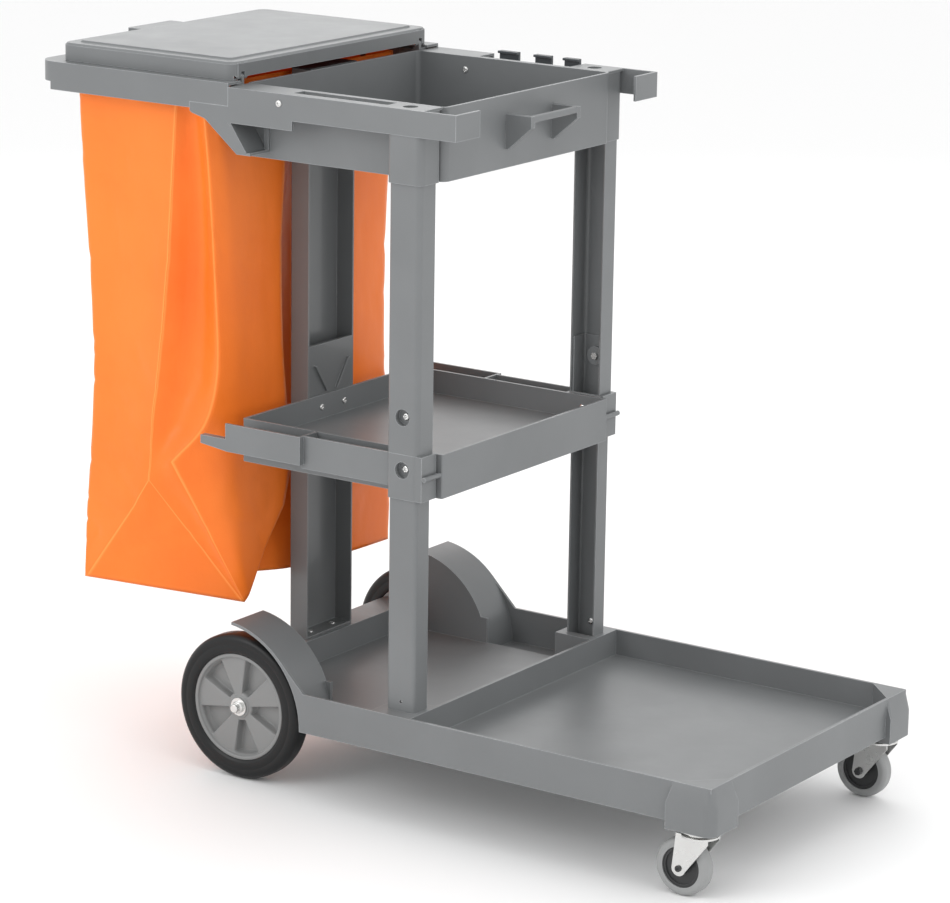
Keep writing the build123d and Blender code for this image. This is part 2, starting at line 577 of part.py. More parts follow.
# ---------------------------------------------------------------- top tray
def tray_side():
    """Right hand ledge, skirt, hook arm, bracket and post collar."""
    y_out = -SKIRT_Y
    y_skin = -SKIRT_Y + SHELL
    z_under = TRAY_Z - SHELL
    side = block(SEAM_X, LEDGE_END_X, y_out, -TUB_HALF_W + 1.0, z_under, TRAY_Z)
    side += block(SEAM_X, ARM_FRONT_X, y_out, y_skin, SKIRT_BOTTOM_Z, TRAY_Z)
    foot_x0, foot_x1 = BRACKET_FOOT_X
    foot_z = BRACKET_FOOT_Z
    side += side_plate(
        [(LAP_REAR_X, LAP_Z), (LAP_REAR_X, LAP_TAIL_Z), (LAP_REAR_X + LAP_NOSE[0], LAP_TAIL_Z - LAP_NOSE[1]),
         BRACKET_TOP, (foot_x0, foot_z), (foot_x1, foot_z), (SEAM_X, SKIRT_STEP_Z),
         (SKIRT_STEP_X, SKIRT_STEP_Z), (SKIRT_STEP_X, LAP_Z)],
        y_out, y_skin)
    side += side_plate(
        [(SEAM_X, SKIRT_STEP_Z + 1.0), (foot_x1 - SHELL, foot_z), (foot_x1, foot_z),
         (SEAM_X + SHELL, SKIRT_STEP_Z + 1.0)],
        y_out, -TUB_HALF_W + 1.0)
    side += block(foot_x1 - 1.0, foot_x1 + SHELL, y_out, -TUB_HALF_W + 1.0, foot_z, foot_z + SHELL)
    side += block(foot_x1 - SHELL, foot_x1 + SHELL, -TUB_HALF_W - WALL, -TUB_HALF_W + 1.0,
                  foot_z, z_under + 1.0)
    side += block(ARM_FRONT_X - SHELL, ARM_FRONT_X, y_out, -ARM_IN_Y, SKIRT_BOTTOM_Z, TRAY_Z)
    side += post_outline(COLLAR_GROW, COLLAR_BOTTOM_Z, z_under + 1.0)
    side -= post_outline(0.0, COLLAR_BOTTOM_Z - 1.0, z_under)
    side -= rod_z(TOOL_HOLE_X, -TOOL_HOLE_Y, TOOL_HOLE_R, z_under - 1.0, TRAY_Z + 1.0)
    side -= rod_y(*LAP_SCREW, SCREW_R, y_out - 1.0, y_skin + 1.0)
    return side


def top_tray():
    w = TUB_HALF_W
    tub = rounded_block(TUB_REAR_X, TUB_FRONT_X, -w, w, TUB_BOTTOM_Z, TRAY_Z, TUB_CORNER_R)
    cavity = rounded_block(TUB_REAR_X + SHELL, TUB_FRONT_X - SHELL, -w + SHELL, w - SHELL,
                           TUB_BOTTOM_Z + SHELL, TRAY_Z + 1.0, TUB_CORNER_R - SHELL)
    right = tray_side()
    left = left_of(right)
    right -= block(SLOT_X[0], SLOT_X[1], -SLOT_Y[1], -SLOT_Y[0], TRAY_Z - 2 * SHELL, TRAY_Z + 1.0)
    left -= block(SLOT_X[0], SLOT_X[1], SLOT_Y[0], SKIRT_Y + 1.0, RACK_DROP_Z, TRAY_Z + 1.0)
    body = tub + right + left - cavity
    for sign in (-1, 1):
        body -= rod_y(*TUB_SCREW, SCREW_R, sign * (w - 2 * SHELL), sign * (w + SHELL))
    return body


def tool_clips():
    """Three upright clips along the left hand rack."""
    clips = []
    for x0, x1 in CLIP_SPANS:
        y1 = SKIRT_Y
        clip = block(x0, x1, y1 - CLIP_T, y1, RACK_DROP_Z, CLIP_TOP_Z)
        clip += block(x0, x1, y1 - 2 * CLIP_T, y1, CLIP_TOP_Z - SHELL, CLIP_TOP_Z)
        clips.append(clip)
    return clips


def pull_handle():
    x0 = TUB_FRONT_X
    cheek_in = -HANDLE_OUT_Y + HANDLE_CHEEK_T
    cheek = side_plate(
        [(x0, HANDLE_FOOT_Z), (x0 + HANDLE_CHEEK_T / 2, HANDLE_FOOT_Z), (HANDLE_TIP_X, HANDLE_TIP_Z),
         (HANDLE_TIP_X, HANDLE_TOP_Z), (x0, HANDLE_TOP_Z)],
        -HANDLE_OUT_Y, cheek_in)
    bar = block(HANDLE_TIP_X - HANDLE_BAR, HANDLE_TIP_X, cheek_in - 1.0, -cheek_in + 1.0,
                HANDLE_TOP_Z - HANDLE_BAR, HANDLE_TOP_Z)
    bar = fillet(bar.edges().filter_by(Axis.Y), HANDLE_BAR / 3)
    return cheek + left_of(cheek) + bar


def tray_screws():
    """Skirt screws at the rail lap and screws through the tub walls."""
    y = -SKIRT_Y
    lap = rod_y(*LAP_SCREW, SCREW_HEAD_R, y - SCREW_HEAD_T, y)
    lap += rod_y(*LAP_SCREW, SCREW_R, y - 1.0, y + SHELL + TONGUE_T)
    tub_y = -TUB_HALF_W + SHELL
    tub = rod_y(*TUB_SCREW, SCREW_HEAD_R, tub_y, tub_y + SCREW_HEAD_T)
    tub += rod_y(*TUB_SCREW, SCREW_R, tub_y - SHELL, tub_y + 1.0)
    return both(lap) + both(tub)


# ---------------------------------------------------------------- bag rail
def rail_plan(inset, z0, z1):
    """Outer plan of the bag rail, open corners rounded at the rear."""
    w = SKIRT_Y - inset
    solid = block(REAR_X + inset, SEAM_X, -w, w, z0, z1)
    rear = solid.edges().filter_by(Axis.Z).sort_by(Axis.X)[:2]
    return fillet(rear, RAIL_CORNER_R - inset)


def bag_frame():
    w = SKIRT_Y
    rim = rail_plan(0.0, RAIL_SIDE_Z, RAIL_TOP_Z) - rail_plan(SHELL, RAIL_SIDE_Z - 1.0, RAIL_TOP_Z + 1.0)
    rim -= block(REAR_X - 1.0, RAIL_STEP_X, -w - 1.0, w + 1.0, RAIL_SIDE_Z - 1.0, RAIL_REAR_Z)
    rim -= block(LAP_REAR_X, SEAM_X + 1.0, -w - 1.0, w + 1.0, RAIL_SIDE_Z - 1.0, LAP_Z)
    flange = rail_plan(0.0, RAIL_TOP_Z - SHELL, RAIL_TOP_Z)
    mouth = rounded_block(MOUTH_REAR_X, MOUTH_FRONT_X, -MOUTH_HALF_W, MOUTH_HALF_W,
                          MOUTH_LIP_Z - 1.0, RAIL_TOP_Z + 1.0, MOUTH_CORNER_R)
    front_gap = block(MOUTH_FRONT_X - MOUTH_CORNER_R, SEAM_X + 1.0, -MOUTH_HALF_W, MOUTH_HALF_W,
                      CROSSBAR_Z[1], RAIL_TOP_Z + 1.0)
    lip = rounded_block(MOUTH_REAR_X - MOUTH_LIP, MOUTH_FRONT_X + CROSSBAR_T, -MOUTH_HALF_W - MOUTH_LIP,
                        MOUTH_HALF_W + MOUTH_LIP, MOUTH_LIP_Z, RAIL_TOP_Z, MOUTH_CORNER_R)
    crossbar = block(MOUTH_FRONT_X, MOUTH_FRONT_X + CROSSBAR_T, -MOUTH_HALF_W - MOUTH_LIP,
                     MOUTH_HALF_W + MOUTH_LIP, CROSSBAR_Z[0], CROSSBAR_Z[1])
    body = rim + flange + lip - mouth - front_gap + crossbar
    ear_x0 = HINGE_X - HINGE_EAR_R
    ear_x1 = HINGE_X + HINGE_EAR_R
    ear_z = RAIL_TOP_Z - 3 * SHELL
    ear = block(ear_x0, ear_x1, -EAR_Y[1], -EAR_Y[0], ear_z, HINGE_Z)
    ear += rod_y(HINGE_X, HINGE_Z, HINGE_EAR_R, -EAR_Y[1], -EAR_Y[0])
    ear += block(ear_x0 - SHELL, ear_x1, -MOUTH_HALF_W - MOUTH_LIP, -EAR_Y[0], ear_z, RAIL_TOP_Z - SHELL)
    ear -= rod_y(HINGE_X, HINGE_Z, HINGE_PIN_R, -EAR_Y[1] - 1.0, -EAR_Y[0] + 1.0)
    tongue_y = -SKIRT_Y + SHELL
    tongue = block(LAP_REAR_X, TONGUE_FRONT_X, tongue_y, tongue_y + TONGUE_T, TONGUE_Z[0], TONGUE_Z[1])
    tongue -= rod_y(*LAP_SCREW, SCREW_R, tongue_y - 1.0, tongue_y + TONGUE_T + 1.0)
    side = ear + tongue
    return body + side + left_of(side)


def hinge_pins():
    y1 = EAR_Y[1] + LUG_GAP + LUG_W
    y0 = EAR_Y[0] - LUG_GAP - LUG_W
    return both(rod_y(HINGE_X, HINGE_Z, HINGE_PIN_R, -y1, -y0))


def bag_pegs():
    """Mushroom pegs that pass through the eyelets of the bag."""
    pegs = []
    reach = BAG_GAP + BAG_T + PEG_CLEAR
    for x in PEG_XS:
        y = -MOUTH_HALF_W
        peg = rod_y(x, PEG_Z, PEG_R, y, y + reach + PEG_HEAD_T)
        peg += rod_y(x, PEG_Z, PEG_HEAD_R, y + reach, y + reach + PEG_HEAD_T)
        pegs += both(peg)
    for y in PEG_YS:
        peg = rod_x(y, PEG_Z, PEG_R, MOUTH_REAR_X, MOUTH_REAR_X + reach + PEG_HEAD_T)
        peg += rod_x(y, PEG_Z, PEG_HEAD_R, MOUTH_REAR_X + reach, MOUTH_REAR_X + reach + PEG_HEAD_T)
        pegs.append(peg)
    return pegs


# ---------------------------------------------------------------- vinyl bag
def bag_body(inset, z_bottom, z_top):
    """Tapered body of the bag, shrunk all round by the inset."""
    x0 = MOUTH_REAR_X + BAG_GAP + inset
    x1 = MOUTH_FRONT_X - BAG_GAP - inset
    w = MOUTH_HALF_W - BAG_GAP - inset
    r = BAG_CORNER_R - inset
    top = rounded_block(x0, x1, -w, w, z_top - 1.0, z_top, r).faces().sort_by(Axis.Z)[-1]
    low = rounded_block(x0 + BAG_TAPER, x1 - BAG_TAPER, -w + BAG_TAPER, w - BAG_TAPER,
                        z_bottom, z_bottom + 1.0, r).faces().sort_by(Axis.Z)[0]
    return loft([low, top])


def vinyl_bag():
    bag = bag_body(0.0, BAG_BOTTOM_Z, BAG_TOP_Z) - bag_body(BAG_T, BAG_BOTTOM_Z + BAG_T, BAG_TOP_Z + 1.0)
    eyelet = PEG_R + PEG_CLEAR
    reach = 3 * BAG_GAP
    holes = [rod_x(y, PEG_Z, eyelet, MOUTH_REAR_X - 1.0, MOUTH_REAR_X + reach) for y in PEG_YS]
    for x in PEG_XS:
        holes += both(rod_y(x, PEG_Z, eyelet, -MOUTH_HALF_W - 1.0, -MOUTH_HALF_W + reach))
    for hole in holes:
        bag -= hole
    return bag


# ---------------------------------------------------------------- lid
def lid():
    """Hollow lid with a raised panel; its front wall stops at the pin so that it swings clear of the rail."""
    body = rounded_block(LID_REAR_X, LID_FRONT_X, -LID_HALF_W, LID_HALF_W,
                         LID_BOTTOM_Z, LID_TOP_Z - LID_CROWN, LID_CORNER_R)
    body = chamfer(body.faces().sort_by(Axis.Z)[-1].edges(), LID_BEVEL)
    crown = rounded_block(LID_REAR_X + LID_BAND, LID_FRONT_X - LID_BAND, -LID_HALF_W + LID_BAND,
                          LID_HALF_W - LID_BAND, LID_TOP_Z - LID_CROWN - 1.0, LID_TOP_Z, CROWN_R)
    crown = chamfer(crown.faces().sort_by(Axis.Z)[-1].edges(), CROWN_BEVEL)
    hollow = rounded_block(LID_REAR_X + LID_WALL, LID_FRONT_X - LID_WALL, -LID_HALF_W + LID_WALL,
                           LID_HALF_W - LID_WALL, LID_BOTTOM_Z - 1.0, LID_TOP_Z - LID_CROWN - LID_WALL,
                           LID_CORNER_R - LID_WALL)
    swing_room = block(HINGE_X, LID_FRONT_X + 1.0, -LID_HALF_W - 1.0, LID_HALF_W + 1.0,
                       LID_BOTTOM_Z - 1.0, HINGE_Z)
    body = body + crown - hollow - swing_room
    tab = rounded_block(TAB_REAR_X, LID_REAR_X + 2 * LID_WALL, -TAB_HALF_W, TAB_HALF_W, TAB_Z[0], TAB_Z[1],
                        LID_WALL)
    roof_z = LID_TOP_Z - LID_CROWN - LID_WALL + 1.0
    lugs = []
    for y0 in (-EAR_Y[1] - LUG_GAP - LUG_W, -EAR_Y[0] + LUG_GAP):
        lug = block(HINGE_X - HINGE_EAR_R, HINGE_X + HINGE_EAR_R, y0, y0 + LUG_W, HINGE_Z, roof_z)
        lug += rod_y(HINGE_X, HINGE_Z, HINGE_EAR_R, y0, y0 + LUG_W)
        lugs += both(lug)
    notch = block(HINGE_X - HINGE_EAR_R, LID_FRONT_X + 1.0, -EAR_Y[1] - LUG_GAP, -EAR_Y[0] + LUG_GAP,
                  LID_BOTTOM_Z - 1.0, HINGE_Z + 2 * HINGE_EAR_R)
    bore = rod_y(HINGE_X, HINGE_Z, HINGE_PIN_R + HINGE_RUN,
                 -LID_HALF_W + 2 * LID_WALL, LID_HALF_W - 2 * LID_WALL)
    body += tab
    for lug in lugs:
        body += lug
    return body - notch - left_of(notch) - bore


# ---------------------------------------------------------------- rear wheels
def revolve_y(points):
    """Ring made by turning an outline of (radius, y) round the axle."""
    outline = Polyline(*[(r, y, WHEEL_R) for r, y in points], close=True)
    return revolve(make_face(outline), axis=Axis((0, 0, WHEEL_R), (0, 1, 0)))


def wheel_hub():
    bore = AXLE_R + AXLE_RUN
    seat = RIM_R
    hub = revolve_y([(bore, -HUB_OUT_Y), (HUB_BOSS_R, -HUB_OUT_Y), (HUB_BOSS_R, -HUB_DISC_OUT_Y),
                     (seat - RIM_WALL, -HUB_DISC_OUT_Y), (seat - RIM_WALL / 2, -RIM_FACE_Y),
                     (seat, -RIM_FACE_Y), (seat, -TYRE_IN_Y - 2.0), (seat - RIM_WALL, -TYRE_IN_Y - 2.0),
                     (seat - RIM_WALL, -HUB_DISC_IN_Y), (HUB_BOSS_R, -HUB_DISC_IN_Y),
                     (HUB_BOSS_R, -HUB_IN_Y), (bore, -HUB_IN_Y)])
    for i in range(SPOKE_COUNT):
        middle = SPOKE_PHASE_DEG + i * 360.0 / SPOKE_COUNT
        a0 = radians(middle - SPOKE_SPAN_DEG / 2)
        a1 = radians(middle + SPOKE_SPAN_DEG / 2)
        r0 = HUB_BOSS_R - 2.0
        r1 = seat - RIM_WALL / 2 - 1.0
        mid = radians(middle)
        crown = (r1 + r1 / cos(radians(SPOKE_SPAN_DEG / 2))) / 2
        corners = [(r0 * cos(a0), WHEEL_R + r0 * sin(a0)), (r1 * cos(a0), WHEEL_R + r1 * sin(a0)),
                   (crown * cos(mid), WHEEL_R + crown * sin(mid)),
                   (r1 * cos(a1), WHEEL_R + r1 * sin(a1)), (r0 * cos(a1), WHEEL_R + r0 * sin(a1))]
        hub += side_plate(corners, -SPOKE_FACE_Y, -HUB_DISC_OUT_Y + 1.0)
    return hub


def wheel_tyre():
    lip_r = RIM_R + TYRE_LIP
    tyre = revolve_y([(RIM_R, -TYRE_IN_Y - 1.0), (RIM_R, -RIM_FACE_Y + 1.0), (lip_r, -TYRE_OUT_Y),
                      (WHEEL_R, -TYRE_OUT_Y), (WHEEL_R, -TYRE_IN_Y), (lip_r, -TYRE_IN_Y)])
    shoulders = tyre.edges().filter_by(GeomType.CIRCLE).filter_by(lambda e: e.radius > WHEEL_R - 1.0)
    return fillet(shoulders, TYRE_SHOULDER_R)


def axle():
    rod = rod_y(0, WHEEL_R, AXLE_R, -AXLE_END_Y, AXLE_END_Y)
    return chamfer(rod.edges().filter_by(GeomType.CIRCLE), 1.0)


def ring_y(r_out, r_in, y0, y1):
    return rod_y(0, WHEEL_R, r_out, y0, y1) - rod_y(0, WHEEL_R, r_in, y0 - 1.0, y1 + 1.0)


def axle_washers():
    outer = ring_y(WASHER_R, AXLE_R, -HUB_OUT_Y - SIDE_PLAY - WASHER_T, -HUB_OUT_Y - SIDE_PLAY)
    inner = ring_y(WASHER_R, AXLE_R, -HUB_IN_Y + SIDE_PLAY, -WELL_OUT_Y)
    return both(outer) + both(inner)


def push_nuts():
    y1 = -HUB_OUT_Y - SIDE_PLAY - WASHER_T
    cap = ring_y(PUSH_NUT_R, AXLE_R, y1 - PUSH_NUT_T, y1)
    cap = chamfer(cap.faces().sort_by(Axis.Y)[0].edges().sort_by(SortBy.LENGTH)[-1], PUSH_NUT_BEVEL)
    return both(cap)


# ---------------------------------------------------------------- casters
def at_caster(solid):
    """Move a piece drawn round the caster axle to the right hand caster."""
    return Pos(CASTER_X, -CASTER_Y, CASTER_R) * solid


def caster_seat():
    """Fixed top plate with its stem and the rivet below the fork."""
    top = BLOCK_BOTTOM_Z - CASTER_R
    plate = rod_z(CASTER_TRAIL, 0, SEAT_R, top - SEAT_T, top)
    stem = rod_z(CASTER_TRAIL, 0, STEM_R, top - SEAT_T - RACE_T - 3 * CASTER_GAP - FORK_PLATE_T - RIVET_T,
                 STEM_TOP_Z - CASTER_R)
    rivet_top = top - SEAT_T - RACE_T - FORK_PLATE_T - 3 * CASTER_GAP
    rivet = rod_z(CASTER_TRAIL, 0, RIVET_R, rivet_top - RIVET_T, rivet_top)
    return at_caster(plate + stem + rivet)


def caster_race():
    """Ball race housing between the fixed plate and the fork."""
    z1 = BLOCK_BOTTOM_Z - CASTER_R - SEAT_T - CASTER_GAP
    ring = rod_z(CASTER_TRAIL, 0, RACE_R, z1 - RACE_T, z1)
    ring = chamfer(ring.faces().sort_by(Axis.Z)[0].edges(), RACE_BEVEL)
    return at_caster(ring - rod_z(CASTER_TRAIL, 0, STEM_R + STEM_RUN, z1 - RACE_T - 1.0, z1 + 1.0))


def caster_fork():
    z1 = BLOCK_BOTTOM_Z - CASTER_R - SEAT_T - CASTER_GAP - RACE_T
    z0 = z1 - FORK_PLATE_T
    plate = rod_z(CASTER_TRAIL, 0, SEAT_R - 1.0, z0, z1)
    outer_y = FORK_HALF_GAP + FORK_LEG_T
    tail = -FORK_FOOT_R / 2
    plate += block(tail, FORK_NOSE_X, -outer_y, outer_y, z0, z1)
    foot = rod_y(0, 0, FORK_FOOT_R, -outer_y, -FORK_HALF_GAP)
    turn = radians(FORK_FOOT_DEG)
    leg = side_plate([(-FORK_FOOT_R, 0), (FORK_FOOT_R * cos(turn), -FORK_FOOT_R * sin(turn)),
                      (FORK_NOSE_X, z0 - FORK_APRON), (FORK_NOSE_X, z1), (tail, z1)],
                     -outer_y, -FORK_HALF_GAP)
    fork = plate + foot + leg + left_of(foot + leg)
    fork -= rod_z(CASTER_TRAIL, 0, STEM_R + STEM_RUN, z0 - 1.0, z1 + 1.0)
    fork -= rod_y(0, 0, CASTER_BOLT_R, -2 * outer_y, 2 * outer_y)
    return at_caster(fork)


def caster_bolt():
    outer_y = FORK_HALF_GAP + FORK_LEG_T
    bolt = rod_y(0, 0, CASTER_BOLT_R, -outer_y - 1.0, outer_y + CASTER_BOLT_TAIL)
    head = rod_y(0, 0, CASTER_HEAD_R, -outer_y - CASTER_HEAD_T, -outer_y)
    socket = Pos(0, -outer_y - CASTER_HEAD_T, 0) * Rot(90, 0, 0)
    socket = socket * extrude(RegularPolygon(CASTER_HEAD_R / 2, 6), amount=CASTER_HEAD_T / 2, both=True)
    return at_caster(bolt + head - socket)


def caster_nut():
    outer_y = FORK_HALF_GAP + FORK_LEG_T
    nut = Pos(0, outer_y + CASTER_HEAD_T, 0) * Rot(90, 0, 0)
    nut = nut * extrude(RegularPolygon(CASTER_NUT_R, 6), amount=CASTER_HEAD_T, both=True)
    return at_caster(nut - rod_y(0, 0, CASTER_BOLT_R, outer_y - 1.0, outer_y + 2 * CASTER_HEAD_T + 1.0))


def caster_core():
    half = CORE_W / 2
    disc = rod_y(0, 0, CASTER_CORE_R, -half, half)
    groove = rod_y(0, 0, CASTER_CORE_R - CORE_DISH, half - CORE_DISH / 2, half + 1.0)
    groove -= rod_y(0, 0, CORE_HUB_R, half - CORE_DISH, half + 2.0)
    disc = disc - groove - left_of(groove)
    disc += rod_y(0, 0, CORE_HUB_R, -CORE_HUB_W / 2, CORE_HUB_W / 2)
    return at_caster(disc - rod_y(0, 0, CASTER_BOLT_R + CASTER_BOLT_RUN, -CORE_HUB_W, CORE_HUB_W))


def caster_tread():
    half = TREAD_W / 2
    ring = rod_y(0, 0, CASTER_R, -half, half)
    ring = fillet(ring.edges().filter_by(GeomType.CIRCLE), TREAD_ROUND_R)
    return at_caster(ring - rod_y(0, 0, CASTER_CORE_R, -half - 1.0, half + 1.0))


# ---------------------------------------------------------------- write the parts
def save(node, pieces):
    """Move a node from axle-based to centred lengths and write its file."""
    shift = Pos(-FRAME_CENTRE_X, 0, 0)
    if isinstance(pieces, list):
        solids = [shift * s for piece in pieces for s in piece.solids()]
        shape = Compound(children=solids)
    else:
        shape = shift * pieces
    export_step(shape, "parts/" + node + ".step")


def save_pair(name, right_piece):
    save(name + "_right", right_piece)
    save(name + "_left", left_of(right_piece))


os.makedirs("parts", exist_ok=True)
save("base", base())
save_pair("lower_post", lower_post())
save_pair("upper_post", upper_post())
save("post_bolts", post_bolts())
save("post_nuts", post_nuts())
save("foot_screws", foot_screws())
save("column", column())
save("column_hook_plate", column_hook_plate())
save("column_cap", column_cap())
save("column_screws", column_screws())
save("mid_shelf", mid_shelf())
save("shelf_pins", shelf_pins())
save("shelf_screws", shelf_screws())
save("top_tray", top_tray())
save("tool_clips", tool_clips())
save("pull_handle", pull_handle())
save("tray_screws", tray_screws())
save("bag_frame", bag_frame())
save("hinge_pins", hinge_pins())
save("bag_pegs", bag_pegs())
save("vinyl_bag", vinyl_bag())
save("lid", lid())
save("axle", axle())
save("axle_washers", axle_washers())
save("push_nuts", push_nuts())
save_pair("wheel_hub", wheel_hub())
save_pair("wheel_tyre", wheel_tyre())
save_pair("caster_seat", caster_seat())
save_pair("caster_race", caster_race())
save_pair("caster_fork", caster_fork())
save_pair("caster_bolt", caster_bolt())
save_pair("caster_nut", caster_nut())
save_pair("caster_core", caster_core())
save_pair("caster_tread", caster_tread())
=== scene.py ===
# %% [markdown]
# # A housekeeping cart
# The cart is a grey moulded base on two big wheels and two swivel casters, with two posts and a
# rear column that carry a shelf, a top tray and an orange vinyl bag under a lid.
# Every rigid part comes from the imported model. This lesson gives each one its finish, rounds its
# edges, and builds anew the pieces that plain solids can't show: the soft bag, the tyres, the
# spoked hubs, the screw heads and the bag's eyelets.

# %% Load the frame
import json
import math

import bmesh
import bpy
import numpy as np
from mathutils import Matrix, Vector, kdtree, noise


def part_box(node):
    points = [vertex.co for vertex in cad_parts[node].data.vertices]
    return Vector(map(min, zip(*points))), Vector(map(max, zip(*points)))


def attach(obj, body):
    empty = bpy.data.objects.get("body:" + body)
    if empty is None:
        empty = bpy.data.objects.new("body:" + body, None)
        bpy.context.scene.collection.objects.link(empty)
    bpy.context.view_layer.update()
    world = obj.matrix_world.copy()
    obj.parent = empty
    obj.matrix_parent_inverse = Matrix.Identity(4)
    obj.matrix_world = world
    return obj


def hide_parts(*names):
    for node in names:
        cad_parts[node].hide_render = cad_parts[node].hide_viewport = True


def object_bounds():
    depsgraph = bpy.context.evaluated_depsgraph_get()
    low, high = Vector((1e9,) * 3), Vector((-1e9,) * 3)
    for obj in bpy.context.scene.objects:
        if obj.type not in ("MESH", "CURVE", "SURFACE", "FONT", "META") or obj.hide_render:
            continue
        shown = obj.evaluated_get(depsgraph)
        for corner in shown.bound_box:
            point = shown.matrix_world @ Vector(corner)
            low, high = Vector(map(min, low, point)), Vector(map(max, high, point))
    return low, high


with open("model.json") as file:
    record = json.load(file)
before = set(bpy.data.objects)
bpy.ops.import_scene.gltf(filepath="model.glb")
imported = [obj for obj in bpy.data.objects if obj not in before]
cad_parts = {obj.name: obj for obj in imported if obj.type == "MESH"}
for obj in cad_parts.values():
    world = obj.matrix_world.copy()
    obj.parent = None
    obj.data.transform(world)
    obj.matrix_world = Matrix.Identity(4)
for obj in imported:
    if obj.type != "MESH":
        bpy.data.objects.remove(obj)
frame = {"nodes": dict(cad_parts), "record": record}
cad_low, cad_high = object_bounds()
MM = 0.001
print("cart", [round(c, 3) for c in cad_high - cad_low], "m,", len(frame["nodes"]), "nodes")

# %% [markdown]
# ## Camera
# A long lens from the right, a little above the tray, keeps the cart's upright lines nearly
# parallel. The camera stands about five metres away and looks at the middle of the cart.

# %% Camera
CAMERA_AT = Vector((2.8179, -4.1152, 1.7188))
LOOK_AT = Vector((0.0378, -0.0408, 0.4637))
CAMERA_ROLL = math.radians(0.857)
LENS_MM = 144.5

camera_data = bpy.data.cameras.new("camera")
camera_data.lens = LENS_MM
camera_data.clip_end = 50.0
camera = bpy.data.objects.new("camera", camera_data)
bpy.context.scene.collection.objects.link(camera)
aim = (LOOK_AT - CAMERA_AT).to_track_quat("-Z", "Y").to_matrix().to_4x4()
camera.matrix_world = Matrix.Translation(CAMERA_AT) @ aim @ Matrix.Rotation(CAMERA_ROLL, 4, "Z")
bpy.context.scene.camera = camera
print("camera is", round((LOOK_AT - CAMERA_AT).length, 2), "m away")

# %% [markdown]
# ## Floor and light
# Satin plastic shows its edges only if something bright is there to be mirrored, so large soft
# panels stand on both sides and overhead, and the pale world fills the shadows.

# %% Studio
SKY_LIGHT = 1.03
WHITE = (1.0, 1.0, 1.0, 1.0)
FLOOR_COLOUR = (0.93, 0.93, 0.93, 1.0)
FLOOR_ROUGHNESS = 0.7
FLOOR_SIZE = 30.0
FLOOR_DROP = 0.0005        # the floor lies just under the wheels
SOFT_PANELS = (            # name, place, size in metres, power in watts
    ("key_panel", (-1.6, -3.4, 2.1), 2.2, 42.0),
    ("side_panel", (3.6, -0.6, 2.0), 2.4, 26.0),
    ("top_panel", (0.4, 0.4, 3.6), 3.0, 14.0),
    ("back_panel", (-2.4, 3.0, 2.4), 2.4, 18.0),
)


def soft_panel(name, place, size, power, target=(0.0, 0.0, 0.5)):
    """A square area light that faces the target."""
    data = bpy.data.lights.new(name, "AREA")
    data.size = size
    data.energy = power
    lamp = bpy.data.objects.new(name, data)
    bpy.context.scene.collection.objects.link(lamp)
    lamp.location = place
    lamp.rotation_euler = (Vector(target) - Vector(place)).to_track_quat("-Z", "Y").to_euler()


for name, place, size, power in SOFT_PANELS:
    soft_panel(name, place, size, power)

world = bpy.data.worlds.new("studio")
bpy.context.scene.world = world
world.use_nodes = True
sky = world.node_tree.nodes["Background"]
sky.inputs["Color"].default_value = WHITE
sky.inputs["Strength"].default_value = SKY_LIGHT

bpy.context.scene.view_settings.view_transform = "Standard"
bpy.context.scene.view_settings.look = "None"

bpy.ops.mesh.primitive_plane_add(size=FLOOR_SIZE, location=(0.0, 0.0, cad_low.z - FLOOR_DROP))
floor = bpy.context.object
floor.name = "floor"
paint = bpy.data.materials.new("pale_floor")
paint.use_nodes = True
coating = paint.node_tree.nodes["Principled BSDF"]
coating.inputs["Base Color"].default_value = FLOOR_COLOUR
coating.inputs["Roughness"].default_value = FLOOR_ROUGHNESS
floor.data.materials.append(paint)
print(len(SOFT_PANELS), "soft panels over a pale floor")

# %% [markdown]
# ## Shared shader effects
# Several finishes need the same three things: a fine moulded grain, edges with a painted highlight
# and a rubbed polish, and colour that is never quite even. Each is a node group, made once and
# placed in every material with its own values.

# %% Node group helpers
def start_group(name, inputs, outputs):
    """An empty shader group with float or colour sockets: (group, input node, output node)."""
    group = bpy.data.node_groups.new(name, "ShaderNodeTree")
    for label, kind, value in inputs:
        socket = group.interface.new_socket(label, in_out="INPUT", socket_type=kind)
        socket.default_value = value
    for label, kind in outputs:
        group.interface.new_socket(label, in_out="OUTPUT", socket_type=kind)
    return group, group.nodes.new("NodeGroupInput"), group.nodes.new("NodeGroupOutput")


def math_node(tree, operation, a, b=None, clamp=False):
    """A Math node; a and b are numbers or sockets. Gives its output socket."""
    node = tree.nodes.new("ShaderNodeMath")
    node.operation = operation
    node.use_clamp = clamp
    for socket, value in zip(node.inputs, (a, b)):
        if isinstance(value, bpy.types.NodeSocket):
            tree.links.new(value, socket)
        elif value is not None:
            socket.default_value = value
    return node.outputs[0]


def noise_node(tree, scale, detail, vector, roughness=0.5):
    """A Noise Texture node on that vector. Gives its Fac output."""
    node = tree.nodes.new("ShaderNodeTexNoise")
    node.inputs["Detail"].default_value = detail
    node.inputs["Roughness"].default_value = roughness
    if isinstance(scale, bpy.types.NodeSocket):
        tree.links.new(scale, node.inputs["Scale"])
    else:
        node.inputs["Scale"].default_value = scale
    tree.links.new(vector, node.inputs["Vector"])
    return node.outputs["Fac"]


def mix_colour(tree, factor, a, b, blend="MIX"):
    """A colour Mix node; factor, a and b are values or sockets. Gives its result socket."""
    node = tree.nodes.new("ShaderNodeMix")
    node.data_type = "RGBA"
    node.blend_type = blend
    for socket, value in ((node.inputs[0], factor), (node.inputs[6], a), (node.inputs[7], b)):
        if isinstance(value, bpy.types.NodeSocket):
            tree.links.new(value, socket)
        else:
            socket.default_value = value
    return node.outputs[2]


